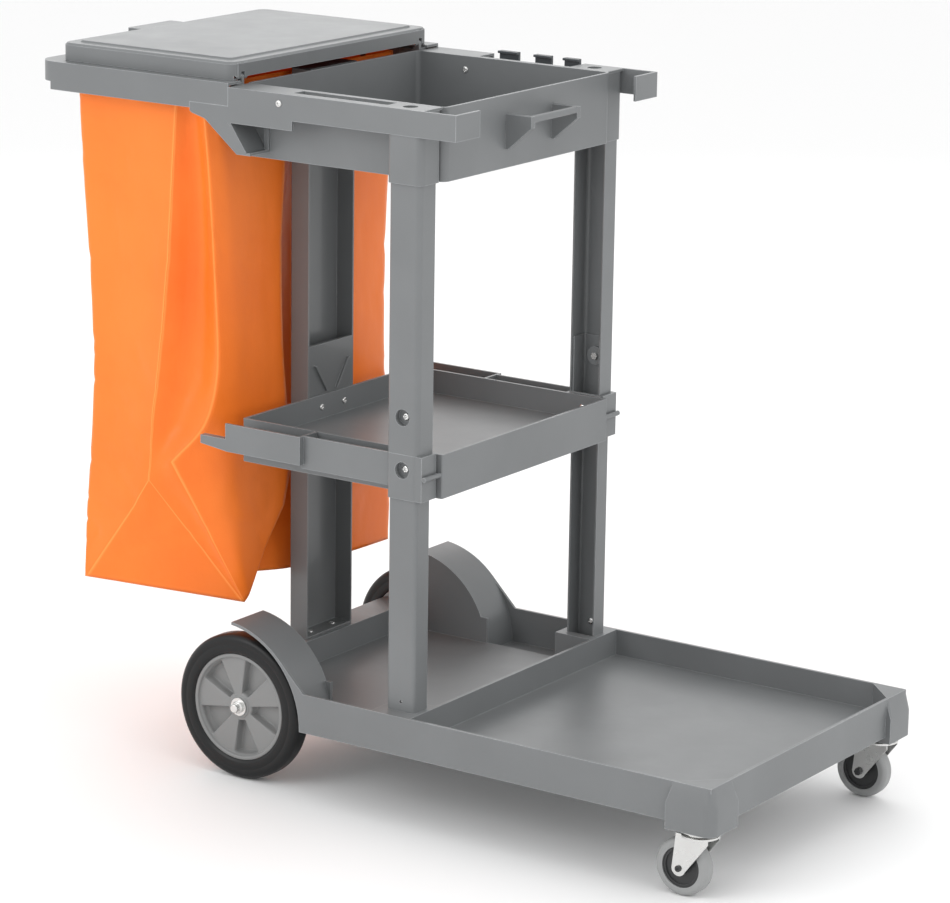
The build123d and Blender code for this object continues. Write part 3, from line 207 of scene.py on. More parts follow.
def ramp(tree, value, low, high):
    """A smooth 0 to 1 step of the value between low and high."""
    node = tree.nodes.new("ShaderNodeMapRange")
    node.interpolation_type = "SMOOTHSTEP"
    tree.links.new(value, node.inputs["Value"])
    node.inputs["From Min"].default_value = low
    node.inputs["From Max"].default_value = high
    return node.outputs["Result"]


# %% Edge highlight and rub
def edge_highlight_and_rub_group():
    """Mask of the outer edges: a painted highlight in their colour, and the polish of hands and boxes."""
    group, given, out = start_group(
        "Edge Highlight And Rub",
        [("Radius", "NodeSocketFloat", 0.0016), ("Patchiness", "NodeSocketFloat", 0.4)],
        [("Mask", "NodeSocketFloat")])
    soft = group.nodes.new("ShaderNodeBevel")
    soft.samples = 4
    group.links.new(given.outputs["Radius"], soft.inputs["Radius"])
    true = group.nodes.new("ShaderNodeNewGeometry")
    dot = group.nodes.new("ShaderNodeVectorMath")
    dot.operation = "DOT_PRODUCT"
    group.links.new(soft.outputs["Normal"], dot.inputs[0])
    group.links.new(true.outputs["Normal"], dot.inputs[1])
    edge = ramp(group, math_node(group, "SUBTRACT", 1.0, dot.outputs["Value"]), 0.004, 0.12)
    place = group.nodes.new("ShaderNodeTexCoord")
    patches = noise_node(group, 34.0, 3.0, place.outputs["Object"])
    worn = math_node(group, "MULTIPLY", ramp(group, patches, 0.3, 0.7), given.outputs["Patchiness"])
    kept = math_node(group, "SUBTRACT", 1.0, worn)
    group.links.new(math_node(group, "MULTIPLY", edge, kept, clamp=True), out.inputs["Mask"])
    return group


# %% Moulded grain
def moulded_grain_group():
    """Fine leathery grain of a plastic mould, its shade mottling and roughness drift."""
    group, given, out = start_group(
        "Moulded Grain",
        [("Grain Scale", "NodeSocketFloat", 900.0), ("Mottle Scale", "NodeSocketFloat", 7.0)],
        [("Height", "NodeSocketFloat"), ("Mottle", "NodeSocketFloat"), ("Drift", "NodeSocketFloat")])
    place = group.nodes.new("ShaderNodeTexCoord").outputs["Object"]
    pits = group.nodes.new("ShaderNodeTexVoronoi")
    pits.feature = "SMOOTH_F1"
    group.links.new(place, pits.inputs["Vector"])
    group.links.new(given.outputs["Grain Scale"], pits.inputs["Scale"])
    wide = noise_node(group, 160.0, 2.0, place)
    height = math_node(group, "ADD", pits.outputs["Distance"], math_node(group, "MULTIPLY", wide, 0.8))
    group.links.new(height, out.inputs["Height"])
    group.links.new(noise_node(group, given.outputs["Mottle Scale"], 4.0, place), out.inputs["Mottle"])
    group.links.new(noise_node(group, 23.0, 5.0, place, 0.6), out.inputs["Drift"])
    return group


# %% Settled dust
def settled_dust_group():
    """Mask of thin dust on faces that look up, broken up as if wiped."""
    group, given, out = start_group(
        "Settled Dust", [("Amount", "NodeSocketFloat", 0.2)], [("Mask", "NodeSocketFloat")])
    split = group.nodes.new("ShaderNodeSeparateXYZ")
    group.links.new(group.nodes.new("ShaderNodeNewGeometry").outputs["True Normal"], split.inputs[0])
    up = ramp(group, split.outputs["Z"], 0.6, 1.0)
    place = group.nodes.new("ShaderNodeTexCoord").outputs["Object"]
    wiped = ramp(group, noise_node(group, 5.5, 6.0, place, 0.62), 0.35, 0.75)
    both = math_node(group, "MULTIPLY", up, wiped)
    group.links.new(math_node(group, "MULTIPLY", both, given.outputs["Amount"]), out.inputs["Mask"])
    return group


EDGE_HIGHLIGHT_AND_RUB = edge_highlight_and_rub_group()
MOULDED_GRAIN = moulded_grain_group()
SETTLED_DUST = settled_dust_group()
print("shader groups:", [g.name for g in (EDGE_HIGHLIGHT_AND_RUB, MOULDED_GRAIN, SETTLED_DUST)])

# %% [markdown]
# ## Finishes
# Most of the cart is one grey plastic. The others are close relations: the hubs and caster parts
# are plastic too, the column is painted steel, the fasteners are bright zinc, the tyres are black
# rubber, and the bag has a material of its own further down. One function makes all but the bag's,
# because each is a base colour, a painted edge highlight colour, a grain and a roughness.

# %% Material maker
DUST_COLOUR = (0.42, 0.41, 0.40, 1.0)
DUST_DULLS = 0.4           # roughness that full dust adds
ROUGHNESS_DRIFT = 0.12     # how far roughness wanders over a surface
RUB_POLISH = -0.12         # roughness change where an edge is rubbed
BUMP_STRENGTH = 0.5


def place_group(tree, group, values=()):
    """Places a node group in a material and sets its inputs."""
    node = tree.nodes.new("ShaderNodeGroup")
    node.node_tree = group
    for label, value in values:
        node.inputs[label].default_value = value
    return node


def shade(colour, times):
    """The colour made lighter or darker."""
    return tuple(min(1.0, c * times) for c in colour[:3]) + (1.0,)


def finish_material(name, colour, rough, grain=(900.0, 0.00004), painted_edge=(0.0016, 1.5), dust=0.06,
                    metal=0.0, mottle=0.05, coat=0.0, specular=0.5):
    """A moulded, painted or plated finish: grained, mottled, a painted highlight and polish on its edges,
    lightly dusty.
    """
    material = bpy.data.materials.new(name)
    material.use_nodes = True
    tree = material.node_tree
    shader = tree.nodes["Principled BSDF"]
    shader.inputs["Metallic"].default_value = metal
    shader.inputs["Coat Weight"].default_value = coat
    shader.inputs["Specular IOR Level"].default_value = specular
    grained = place_group(tree, MOULDED_GRAIN, [("Grain Scale", grain[0])])
    edge_highlight = place_group(tree, EDGE_HIGHLIGHT_AND_RUB, [("Radius", painted_edge[0])])
    dusty = place_group(tree, SETTLED_DUST, [("Amount", dust)])
    uneven = mix_colour(tree, ramp(tree, grained.outputs["Mottle"], 0.3, 0.7),
                        shade(colour, 1.0 - mottle), shade(colour, 1.0 + mottle))
    # painted highlight: the colour is made lighter along the edges, by the second number of the edge pair
    edged = mix_colour(tree, edge_highlight.outputs["Mask"], uneven, shade(colour, painted_edge[1]))
    tree.links.new(mix_colour(tree, dusty.outputs["Mask"], edged, DUST_COLOUR),
                   shader.inputs["Base Color"])
    centred = math_node(tree, "SUBTRACT", grained.outputs["Drift"], 0.5)
    drift = math_node(tree, "MULTIPLY", centred, ROUGHNESS_DRIFT)
    worn = math_node(tree, "MULTIPLY", edge_highlight.outputs["Mask"], RUB_POLISH)
    level = math_node(tree, "ADD", math_node(tree, "ADD", drift, worn), rough)
    dulled = math_node(tree, "MULTIPLY", dusty.outputs["Mask"], DUST_DULLS)
    tree.links.new(math_node(tree, "ADD", level, dulled, clamp=True), shader.inputs["Roughness"])
    bump = tree.nodes.new("ShaderNodeBump")
    bump.inputs["Strength"].default_value = BUMP_STRENGTH
    bump.inputs["Distance"].default_value = grain[1]
    tree.links.new(grained.outputs["Height"], bump.inputs["Height"])
    tree.links.new(bump.outputs["Normal"], shader.inputs["Normal"])
    return material


# %% The finishes
# Each finish's edge pair is the radius of its edges and how much lighter the painted highlight makes them.
FINISHES = {
    "grey_plastic": finish_material(
        "grey_plastic", (0.160, 0.167, 0.171, 1.0), 0.40, painted_edge=(0.0014, 2.3)),
    "dark_plastic": finish_material(
        "dark_plastic", (0.05, 0.056, 0.062, 1.0), 0.42, painted_edge=(0.0012, 2.4)),
    "grey_steel": finish_material(
        "grey_steel", (0.135, 0.140, 0.142, 1.0), 0.34, grain=(1500.0, 0.00002),
        painted_edge=(0.0012, 2.2), dust=0.05, coat=0.2),
    "black_steel": finish_material(
        "black_steel", (0.018, 0.019, 0.02, 1.0), 0.34, painted_edge=(0.0008, 5.0), dust=0.05),
    "zinc_steel": finish_material(
        "zinc_steel", (0.66, 0.66, 0.65, 1.0), 0.27, grain=(2600.0, 0.00001),
        painted_edge=(0.0008, 1.3), dust=0.1, metal=1.0),
    "hub_plastic": finish_material(
        "hub_plastic", (0.205, 0.207, 0.206, 1.0), 0.36, painted_edge=(0.0014, 1.8)),
    "black_rubber": finish_material(
        "black_rubber", (0.006, 0.0065, 0.007, 1.0), 0.38, grain=(700.0, 0.00005),
        painted_edge=(0.002, 1.8), dust=0.02, specular=0.32),
    "grey_rubber": finish_material(
        "grey_rubber", (0.27, 0.275, 0.275, 1.0), 0.5, grain=(1100.0, 0.00004),
        painted_edge=(0.002, 1.3), dust=0.12),
    "black_plastic": finish_material(
        "black_plastic", (0.022, 0.023, 0.024, 1.0), 0.4, painted_edge=(0.001, 3.0)),
}
print("finishes:", sorted(FINISHES))


# %% [markdown]
# ## Orange vinyl
# Coated cloth has three scales of relief: soft creases a hand wide, small crumples, and the weave
# of the backing cloth printed through the coating. The creases belong to the mesh, so the finish
# adds the crumples and the weave. A pressed fold gets a pale painted highlight, and the mesh tells
# the finish where those folds are by an attribute on its points, "crease".

# %% Vinyl finish
VINYL_DEEP = (0.84, 0.168, 0.012, 1.0)
VINYL_BRIGHT = (0.90, 0.205, 0.020, 1.0)
# colour of the painted highlight along the bag's pressed folds and edges
VINYL_HIGHLIGHT = (1.0, 0.36, 0.08, 1.0)
# a painted glow: the cloth gives off a little red-orange light of its own
PAINTED_GLOW_COLOUR = (1.0, 0.10, 0.0, 1.0)
PAINTED_GLOW = 0.04        # strength of the painted glow that keeps the shaded cloth red
FOLD_HIGHLIGHT = 0.6            # how pale the painted highlight along a pressed fold is
VINYL_ROUGHNESS = 0.30
SMUDGE_DULLS = 0.25
CRUMPLE_HEIGHT = 0.003


def crumple_group():
    """Small crumples and a printed-through weave for coated cloth."""
    group, given, out = start_group(
        "Vinyl Crumple",
        [("Crumple Scale", "NodeSocketFloat", 16.0), ("Thread Scale", "NodeSocketFloat", 520.0)],
        [("Height", "NodeSocketFloat"), ("Smudge", "NodeSocketFloat")])
    place = group.nodes.new("ShaderNodeTexCoord").outputs["Object"]
    tall = group.nodes.new("ShaderNodeMapping")
    tall.inputs["Scale"].default_value = (1.0, 1.0, 0.45)
    group.links.new(place, tall.inputs["Vector"])
    crumple = noise_node(group, given.outputs["Crumple Scale"], 5.0, tall.outputs["Vector"], 0.55)
    thread = group.nodes.new("ShaderNodeTexVoronoi")
    thread.distance = "CHEBYCHEV"
    group.links.new(place, thread.inputs["Vector"])
    group.links.new(given.outputs["Thread Scale"], thread.inputs["Scale"])
    fine = math_node(group, "MULTIPLY", thread.outputs["Distance"], 0.05)
    group.links.new(math_node(group, "ADD", crumple, fine), out.inputs["Height"])
    group.links.new(noise_node(group, 3.5, 6.0, place, 0.6), out.inputs["Smudge"])
    return group


def vinyl_material():
    """Satin orange coated cloth, with a painted glow and painted highlights on its folds and edges."""
    material = bpy.data.materials.new("orange_vinyl")
    material.use_nodes = True
    tree = material.node_tree
    shader = tree.nodes["Principled BSDF"]
    shader.inputs["Specular IOR Level"].default_value = 0.35
    shader.inputs["Sheen Weight"].default_value = 0.04
    shader.inputs["Sheen Roughness"].default_value = 0.5
    # painted glow: the cloth gives off a faint red-orange light of its own
    shader.inputs["Emission Color"].default_value = PAINTED_GLOW_COLOUR
    shader.inputs["Emission Strength"].default_value = PAINTED_GLOW
    crumple = place_group(tree, crumple_group())
    edge_highlight = place_group(tree, EDGE_HIGHLIGHT_AND_RUB, [("Radius", 0.0025)])
    uneven = mix_colour(tree, ramp(tree, crumple.outputs["Smudge"], 0.3, 0.7),
                        VINYL_DEEP, VINYL_BRIGHT)
    fold_line = tree.nodes.new("ShaderNodeAttribute")
    fold_line.attribute_name = "crease"
    thin_line = ramp(tree, fold_line.outputs["Fac"], 0.55, 1.0)
    highlit_folds = math_node(tree, "MULTIPLY", thin_line, FOLD_HIGHLIGHT)
    # painted highlight: the cloth is paler along its edges and its pressed folds
    pale = math_node(tree, "MAXIMUM", edge_highlight.outputs["Mask"], highlit_folds)
    tree.links.new(mix_colour(tree, pale, uneven, VINYL_HIGHLIGHT), shader.inputs["Base Color"])
    drift = math_node(tree, "MULTIPLY", crumple.outputs["Smudge"], SMUDGE_DULLS)
    tree.links.new(math_node(tree, "ADD", drift, VINYL_ROUGHNESS), shader.inputs["Roughness"])
    bump = tree.nodes.new("ShaderNodeBump")
    bump.inputs["Strength"].default_value = BUMP_STRENGTH
    bump.inputs["Distance"].default_value = CRUMPLE_HEIGHT
    tree.links.new(crumple.outputs["Height"], bump.inputs["Height"])
    tree.links.new(bump.outputs["Normal"], shader.inputs["Normal"])
    return material


FINISHES["orange_vinyl"] = vinyl_material()
SLOT_OF = {part["node"]: part["material_slot"] for part in frame["record"]["subparts"]}
print(len(FINISHES), "finishes for", len(set(SLOT_OF.values())), "slots")

# %% [markdown]
# ## Rounded edges on the moulded parts
# A moulding never has a razor edge. The imported meshes keep their shape, and modifiers
# finish them: Weld joins the loose triangles, a planar Decimate clears the needless ones, Bevel
# rounds each sharp edge by one or two millimetres at most and Weighted Normal keeps the flats flat.

# %% Edge rounding
ROUNDING = {
    "base": 1.3, "top_tray": 1.2, "mid_shelf": 1.2, "bag_frame": 1.2, "pull_handle": 1.6,
    "lower_post_right": 0.9, "lower_post_left": 0.9, "upper_post_right": 0.9, "upper_post_left": 0.9,
    "tool_clips": 0.8, "column": 0.5, "column_hook_plate": 0.4, "column_cap": 0.35,
    "caster_fork_right": 0.4, "caster_fork_left": 0.4, "shelf_pins": 0.5, "lid": 1.8,
}
SMALL_PART_EDGE = 0.25
WELD_WITHIN = 0.00001
FLAT_WITHIN = math.radians(0.6)
SHARP_FROM = math.radians(30.0)
KEEPS_ITS_FACES = ("mid_shelf",)      # its floor is one wide face that Decimate would fold over


def round_edges(node, width):
    """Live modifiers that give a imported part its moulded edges."""
    part = frame["nodes"][node]
    weld = part.modifiers.new("weld", "WELD")
    weld.merge_threshold = WELD_WITHIN
    if node not in KEEPS_ITS_FACES:
        flat = part.modifiers.new("flats", "DECIMATE")
        flat.decimate_type = "DISSOLVE"
        flat.angle_limit = FLAT_WITHIN
    bevel = part.modifiers.new("moulded_edges", "BEVEL")
    bevel.width = width * MM
    bevel.segments = 3
    bevel.limit_method = "ANGLE"
    bevel.angle_limit = SHARP_FROM
    bevel.miter_outer = "MITER_ARC"
    even = part.modifiers.new("even_shading", "WEIGHTED_NORMAL")
    even.keep_sharp = False


for node_name, part in frame["nodes"].items():
    for attribute in ("custom_normal", "sharp_edge", "sharp_face"):
        if attribute in part.data.attributes:
            part.data.attributes.remove(part.data.attributes[attribute])
    part.data.polygons.foreach_set("use_smooth", [True] * len(part.data.polygons))
    round_edges(node_name, ROUNDING.get(node_name, SMALL_PART_EDGE))
    part.data.materials.clear()
    part.data.materials.append(FINISHES[SLOT_OF[node_name]])
print("rounded", len(frame["nodes"]), "parts,", len(ROUNDING), "of them by their own amount")

# %% [markdown]
# ## Making a piece
# A new piece is a mesh in the cart's own coordinates, a body to ride on, the nodes it stands for
# and the slot it takes its finish from. One function does these four things for all of them.

# %% Piece helpers
def mesh_from(name, verts, faces, merge=0.0002):
    """A closed mesh with its doubles merged and its faces turned outwards."""
    net = bmesh.new()
    made = [net.verts.new(v) for v in verts]
    for face in faces:
        net.faces.new([made[i] for i in face])
    bmesh.ops.remove_doubles(net, verts=net.verts, dist=merge)
    bmesh.ops.dissolve_degenerate(net, edges=net.edges, dist=0.00001)
    bmesh.ops.recalc_face_normals(net, faces=net.faces)
    for face in net.faces:
        face.smooth = True
    mesh = bpy.data.meshes.new(name)
    net.to_mesh(mesh)
    net.free()
    return mesh


def add_piece(name, mesh, body, nodes, slot):
    """Puts the mesh in the scene as a piece that rides, replaces its nodes and has its finish."""
    piece = bpy.data.objects.new(name, mesh)
    bpy.context.scene.collection.objects.link(piece)
    mesh.materials.clear()
    mesh.materials.append(FINISHES[slot])
    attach(piece, body)
    if nodes:
        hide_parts(*nodes)
    print(name, len(mesh.polygons), "faces on", body)
    return piece


def set_inputs(modifier, values):
    """Sets a Geometry Nodes modifier's inputs, found by their socket identifiers."""
    for item in modifier.node_group.interface.items_tree:
        if item.item_type == "SOCKET" and item.in_out == "INPUT" and item.name in values:
            modifier[item.identifier] = values[item.name]


def grow(name, blank, tree, values):
    """Runs a Geometry Nodes tree on a blank mesh and gives the result as a plain mesh."""
    holder = bpy.data.objects.new(name + "_blank", blank)
    bpy.context.scene.collection.objects.link(holder)
    modifier = holder.modifiers.new("grow", "NODES")
    modifier.node_group = tree
    set_inputs(modifier, values)
    bpy.context.view_layer.update()
    graph = bpy.context.evaluated_depsgraph_get()
    made = bpy.data.meshes.new_from_object(holder.evaluated_get(graph))
    bpy.data.objects.remove(holder)
    made.name = name
    return made


def start_tree(name, inputs):
    """A Geometry Nodes tree with its geometry sockets and the named inputs."""
    tree = bpy.data.node_groups.new(name, "GeometryNodeTree")
    tree.interface.new_socket("Geometry", in_out="INPUT", socket_type="NodeSocketGeometry")
    for label, kind in inputs:
        tree.interface.new_socket(label, in_out="INPUT", socket_type=kind)
    tree.interface.new_socket("Geometry", in_out="OUTPUT", socket_type="NodeSocketGeometry")
    return tree, tree.nodes.new("NodeGroupInput"), tree.nodes.new("NodeGroupOutput")


def end_tree(tree, given, out, geometry):
    """Realize Instances and Set Material, the last two nodes of every tree."""
    real = tree.nodes.new("GeometryNodeRealizeInstances")
    tree.links.new(geometry, real.inputs["Geometry"])
    finish = tree.nodes.new("GeometryNodeSetMaterial")
    tree.links.new(real.outputs["Geometry"], finish.inputs["Geometry"])
    tree.links.new(given.outputs["Finish"], finish.inputs["Material"])
    tree.links.new(finish.outputs["Geometry"], out.inputs["Geometry"])


# %% [markdown]
# ## The bag, fold by fold
# The bag is coated cloth hung from pegs inside the rail. It could be simulated, but a bag this
# stiff holds the same few folds for months, so it is lofted instead: each fold is a line that
# runs from the rim to the hem, and the cloth is a smooth skin through all of them. At the bottom
# the two near corners are drawn together, which leaves a long triangle on the side.

# %% Bag folds
BAG_LOW, BAG_HIGH = (Vector(corner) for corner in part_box("vinyl_bag"))
BAG_ORIGIN = Vector((BAG_LOW.x, (BAG_LOW.y + BAG_HIGH.y) / 2, BAG_LOW.z))
BAG_ROWS = (709.0, 673.0, 584.0, 464.0, 324.0, 244.0)
NEAR_REAR_HEM = (3, -207, -2)
NEAR_FRONT_HEM = (227, -134, -17)
FAR_REAR_HEM = (3, 206, -2)
FAR_FRONT_HEM = (226, 205, -2)
NEAR_FOLD_END = (118.5, -206, 153)
FAR_FOLD_END = (112, 203, 152)
NEAR_SIDE_TOP = [(172, -207), (170, -207), (164, -208), (155, -209), (139, -209), (127, -208)]
FAR_SIDE_TOP = [(118, 207), (118, 206), (117, 203), (116, 198), (114, 194), (113, 196)]

# Each fold: is it creased, its (x, y) at the rows above, its (x, y, z) below them, and the
# steps to the next fold. All in millimetres from the bag's rear bottom edge.
FOLDS = [
    (True, [(0, -207), (1, -207), (5, -206), (12, -204), (18, -202), (16, -202)],
     [(10, -203, 165), (6, -205, 105), (4, -206, 50), NEAR_REAR_HEM], 7),
    (False, [(58, -207), (58, -206), (60, -203), (62, -200), (62, -199), (58, -201)],
     [(48, -203, 160), (30, -205, 100), (16, -206, 45), NEAR_REAR_HEM], 14),
    (True, NEAR_SIDE_TOP, [NEAR_FOLD_END, (82, -206.5, 100), (42, -207, 49), NEAR_REAR_HEM], 16),
    (True, NEAR_SIDE_TOP, [NEAR_FOLD_END, (156.5, -181, 93.5), (194.5, -155.6, 34), NEAR_FRONT_HEM], 6),
    (False, [(189, -203), (189, -194), (188, -181), (184, -171), (174, -172), (156, -186)],
     [(138, -203, 172), (169, -178, 106), (200, -154, 38), NEAR_FRONT_HEM], 6),
    (True, [(211, -206), (213, -204), (217, -198), (219, -190), (219, -182), (205, -192)],
     [(157.4, -208, 187), (181.8, -182, 115.6), (206, -156, 44), NEAR_FRONT_HEM], 6),
    (False, [(228, -188), (228, -186), (229, -172), (229, -160), (230, -152), (228, -150)],
     [(222, -160, 180), (224, -148, 110), (227, -142, 45), (229, -126, -8)], 14),
    (True, [(230, -60), (230, -52), (232, -52), (234, -60), (236, -58), (236, -48)],
     [(236, -38, 160), (234, -52, 106), (231, -85, 62), (229, -112, 14)], 6),
    (False, [(229, -30), (227, -22), (218, -22), (208, -30), (203, -30), (203, -20)],
     [(203, -14, 160), (204, -30, 100), (208, -62, 52), (214, -96, 16)], 7),
    (False, [(230, 20), (226, 16), (216, 14), (208, 16), (206, 20), (208, 24)],
     [(212, 20, 160), (216, 10, 100), (220, 0, 52), (222, -20, 6)], 11),
    (False, [(230, 110), (230, 108), (228, 106), (226, 104), (226, 106), (228, 108)],
     [(230, 110, 160), (230, 110, 100), (229, 110, 50), (226, 110, 0)], 12),
    (True, [(229, 205), (228, 204), (226, 202), (222, 200), (222, 199), (224, 200)],
     [(226, 203, 160), (227, 205, 105), (228, 206, 50), FAR_FRONT_HEM], 13),
    (True, FAR_SIDE_TOP, [FAR_FOLD_END, (150, 204, 100), (188, 205, 49), FAR_FRONT_HEM], 14),
    (True, FAR_SIDE_TOP, [FAR_FOLD_END, (75, 204.5, 100), (39, 205.5, 49), FAR_REAR_HEM], 14),
    (True, [(0, 207), (1, 206), (3, 205), (6, 203), (8, 201), (7, 202)],
     [(4, 204, 160), (3, 205, 100), (2, 206, 50), FAR_REAR_HEM], 13),
    (False, [(0, 100), (-1, 100), (-3, 98), (-2, 96), (3, 97), (5, 99)],
     [(4, 100, 160), (2, 100, 100), (2, 100, 50), (4, 100, -1)], 12),
    (False, [(0, 4), (1, 2), (6, 0), (8, -3), (6, -2), (2, 0)],
     [(0, 2, 160), (1, 4, 100), (3, 4, 50), (4, 2, 0)], 12),
    (False, [(0, -100), (-1, -100), (-3, -99), (1, -96), (6, -97), (7, -99)],
     [(5, -101, 165), (3, -102, 100), (3, -102, 50), (4, -102, -1)], 13),
]
STEPS_DOWN = 9
FOLD_TURN = len(BAG_ROWS)          # the row where the gathered corners start
BAG_MIDDLE = (118.0, 20.0, 12.0)
BOTTOM_RINGS = (0.04, 0.12, 0.25, 0.42, 0.62, 0.82)      # share of the way in from the hem
BOTTOM_SWELL = 3.0
ON_A_CREASE = 0.0004
CLOTH_T = 0.0012


def smooth_line(points, steps, creased, closed=False):
    """Points on a curve through the given ones, with straight entries at the creased ones."""
    count = len(points)
    spans = count if closed else count - 1
    length = [(points[(i + 1) % count] - points[i]).length for i in range(spans)]
    pull = []
    for i in range(count):
        inner = closed or 0 < i < count - 1
        before, after = length[(i - 1) % spans], length[i % spans]
        if not inner or creased[i] or min(before, after) < 0.0001:
            pull.append(None)
            continue
        heading = (points[(i + 1) % count] - points[i - 1]).normalized()
        pull.append(heading * min(before, after))
    line = []
    for i in range(spans):
        a, b = points[i], points[(i + 1) % count]
        m0 = pull[i] if pull[i] is not None else b - a
        m1 = pull[(i + 1) % count] if pull[(i + 1) % count] is not None else b - a
        for k in range(steps[i]):
            u = k / steps[i]
            line.append(a * (2 * u**3 - 3 * u**2 + 1) + m0 * (u**3 - 2 * u**2 + u)
                        + b * (3 * u**2 - 2 * u**3) + m1 * (u**3 - u**2))
    if not closed:
        line.append(points[-1].copy())
    return line


# %% Bag cloth
def bag_rows():
    """The cloth as rows of points, from the rim down to the hem."""
    lines = []
    for creased, upper, lower, _ in FOLDS:
        points = [Vector((x, y, z)) for (x, y), z in zip(upper, BAG_ROWS)] + [Vector(p) for p in lower]
        bends = [creased and i >= FOLD_TURN for i in range(len(points))]
        lines.append(smooth_line(points, [STEPS_DOWN] * (len(points) - 1), bends))
    steps = [fold[3] for fold in FOLDS]
    creases = [fold[0] for fold in FOLDS]
    return [smooth_line([line[row] for line in lines], steps, creases, closed=True)
            for row in range(len(lines[0]))]


def soften(rows, share=0.26):
    """Eases every crease sideways, so that cloth turns a corner instead of breaking at it."""
    return [[row[i] * (1 - share) + (row[i - 1] + row[(i + 1) % len(row)]) * (share / 2)
             for i in range(len(row))] for row in rows]


def crease(point):
    """How far the cloth stands off its smooth skin at a point, in millimetres."""
    fade = min(1.0, max(0.0, (BAG_ROWS[0] - point.z) / 60.0)) * min(1.0, max(0.2, point.z / 60.0))
    wide = noise.noise(Vector((point.x, point.y, point.z * 0.4)) * 0.012)
    small = noise.noise(Vector((point.x + 90.0, point.y, point.z * 0.55)) * 0.035)
    sharp = abs(noise.noise(Vector((point.x * 0.6 + 40.0, point.y, point.z * 0.9)) * 0.02))
    return fade * (2.0 * wide + 0.5 * small - 1.6 * max(0.0, 0.1 - sharp) / 0.1)


def mark_creases(mesh, highlit_folds):
    """Stores 1 at the points of the pressed folds and 0 between them, where the finish paints a highlight.
    """
    near = kdtree.KDTree(len(highlit_folds))
    for i, point in enumerate(highlit_folds):
        near.insert(point, i)
    near.balance()
    marks = mesh.attributes.new("crease", "FLOAT", "POINT")
    for i, vert in enumerate(mesh.vertices):
        marks.data[i].value = 1.0 if near.find(vert.co)[2] < ON_A_CREASE else 0.0


def bag_mesh():
    """The bag's skin: its side rows, then rings that close the bottom."""
    rows = soften(bag_rows())
    middle = Vector((BAG_MIDDLE[0], BAG_MIDDLE[1], 0.0))
    for row in rows:
        for point in row:
            outward = (Vector((point.x, point.y, 0.0)) - middle).normalized()
            point += outward * crease(point)
    corners = [sum(fold[3] for fold in FOLDS[:k]) for k, fold in enumerate(FOLDS) if fold[0]]
    highlit_folds = [BAG_ORIGIN + row[k] * MM for row in rows for k in corners]
    hem = rows[-1]
    for share in BOTTOM_RINGS:
        swell = Vector((0, 0, BOTTOM_SWELL * math.sin(share * 9.0)))
        rows.append([p.lerp(Vector(BAG_MIDDLE), share) + swell for p in hem])
    around = len(hem)
    verts = [BAG_ORIGIN + p * MM for row in rows for p in row]
    verts.append(BAG_ORIGIN + Vector(BAG_MIDDLE) * MM)
    faces = [(r * around + i, r * around + (i + 1) % around,
              (r + 1) * around + (i + 1) % around, (r + 1) * around + i)
             for r in range(len(rows) - 1) for i in range(around)]
    last = (len(rows) - 1) * around
    faces += [(last + i, last + (i + 1) % around, len(verts) - 1) for i in range(around)]
    mesh = mesh_from("bag", verts, faces, merge=0.0003)
    mark_creases(mesh, highlit_folds)
    return mesh


bag = add_piece("bag", bag_mesh(), "cart", ["vinyl_bag"], "orange_vinyl")
cloth = bag.modifiers.new("cloth", "SOLIDIFY")
cloth.thickness = CLOTH_T
cloth.offset = -1.0
cloth.use_rim = True

# %% [markdown]
# ## Turned parts
# Tyres, hubs and screw heads are all turned: a profile swept once round an axis. The sweep is a
# few lines of mesh code, which keeps every edge where the profile puts it.

# %% Lathe
def lathe(name, profile, steps, centre=(0.0, 0.0, 0.0), closed=True):
    """A mesh swept round the Y axis through the centre from (radius, along) points in metres."""
    verts, faces = [], []
    count = len(profile)
    for k in range(steps):
        turn = 2 * math.pi * k / steps
        for radius, along in profile:
            verts.append((centre[0] + radius * math.cos(turn), centre[1] + along,
                          centre[2] + radius * math.sin(turn)))
    for k in range(steps):
        here, there = k * count, ((k + 1) % steps) * count
        for i in range(count if closed else count - 1):
            j = (i + 1) % count
            faces.append((here + i, here + j, there + j, there + i))
    return mesh_from(name, verts, faces, merge=0.00002)


def arc(cx, cy, radius, start, end, steps=8):
    """Points of an arc, angles in degrees."""
    angles = [math.radians(start + (end - start) * k / steps) for k in range(steps + 1)]
    return [(cx + radius * math.cos(a), cy + radius * math.sin(a)) for a in angles]


def in_metres(profile, side):
    """A profile in millimetres made metres, its outer face turned to the given side."""
    return [(r * MM, side * y * MM) for r, y in profile]


# %% [markdown]
# ## Tyres
# A solid rubber tyre has a flat tread, round shoulders, and a side wall with one thin moulding
# line. A small bead stands over the rim.

# %% Tyres
SIDES = {"right": -1.0, "left": 1.0}
TYRE_LOW, TYRE_HIGH = (Vector(c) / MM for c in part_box("wheel_tyre_left"))
TYRE_R = (TYRE_HIGH.x - TYRE_LOW.x) / 2
AXLE_AT = Vector((TYRE_LOW.x + TYRE_R, 0.0, TYRE_LOW.z + TYRE_R)) * MM
RIM_R = (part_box("wheel_hub_left")[1][0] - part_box("wheel_hub_left")[0][0]) / 2 / MM
SHOULDER_R = 9.0
LINE_R = 88.0
TYRE_STEPS = 160


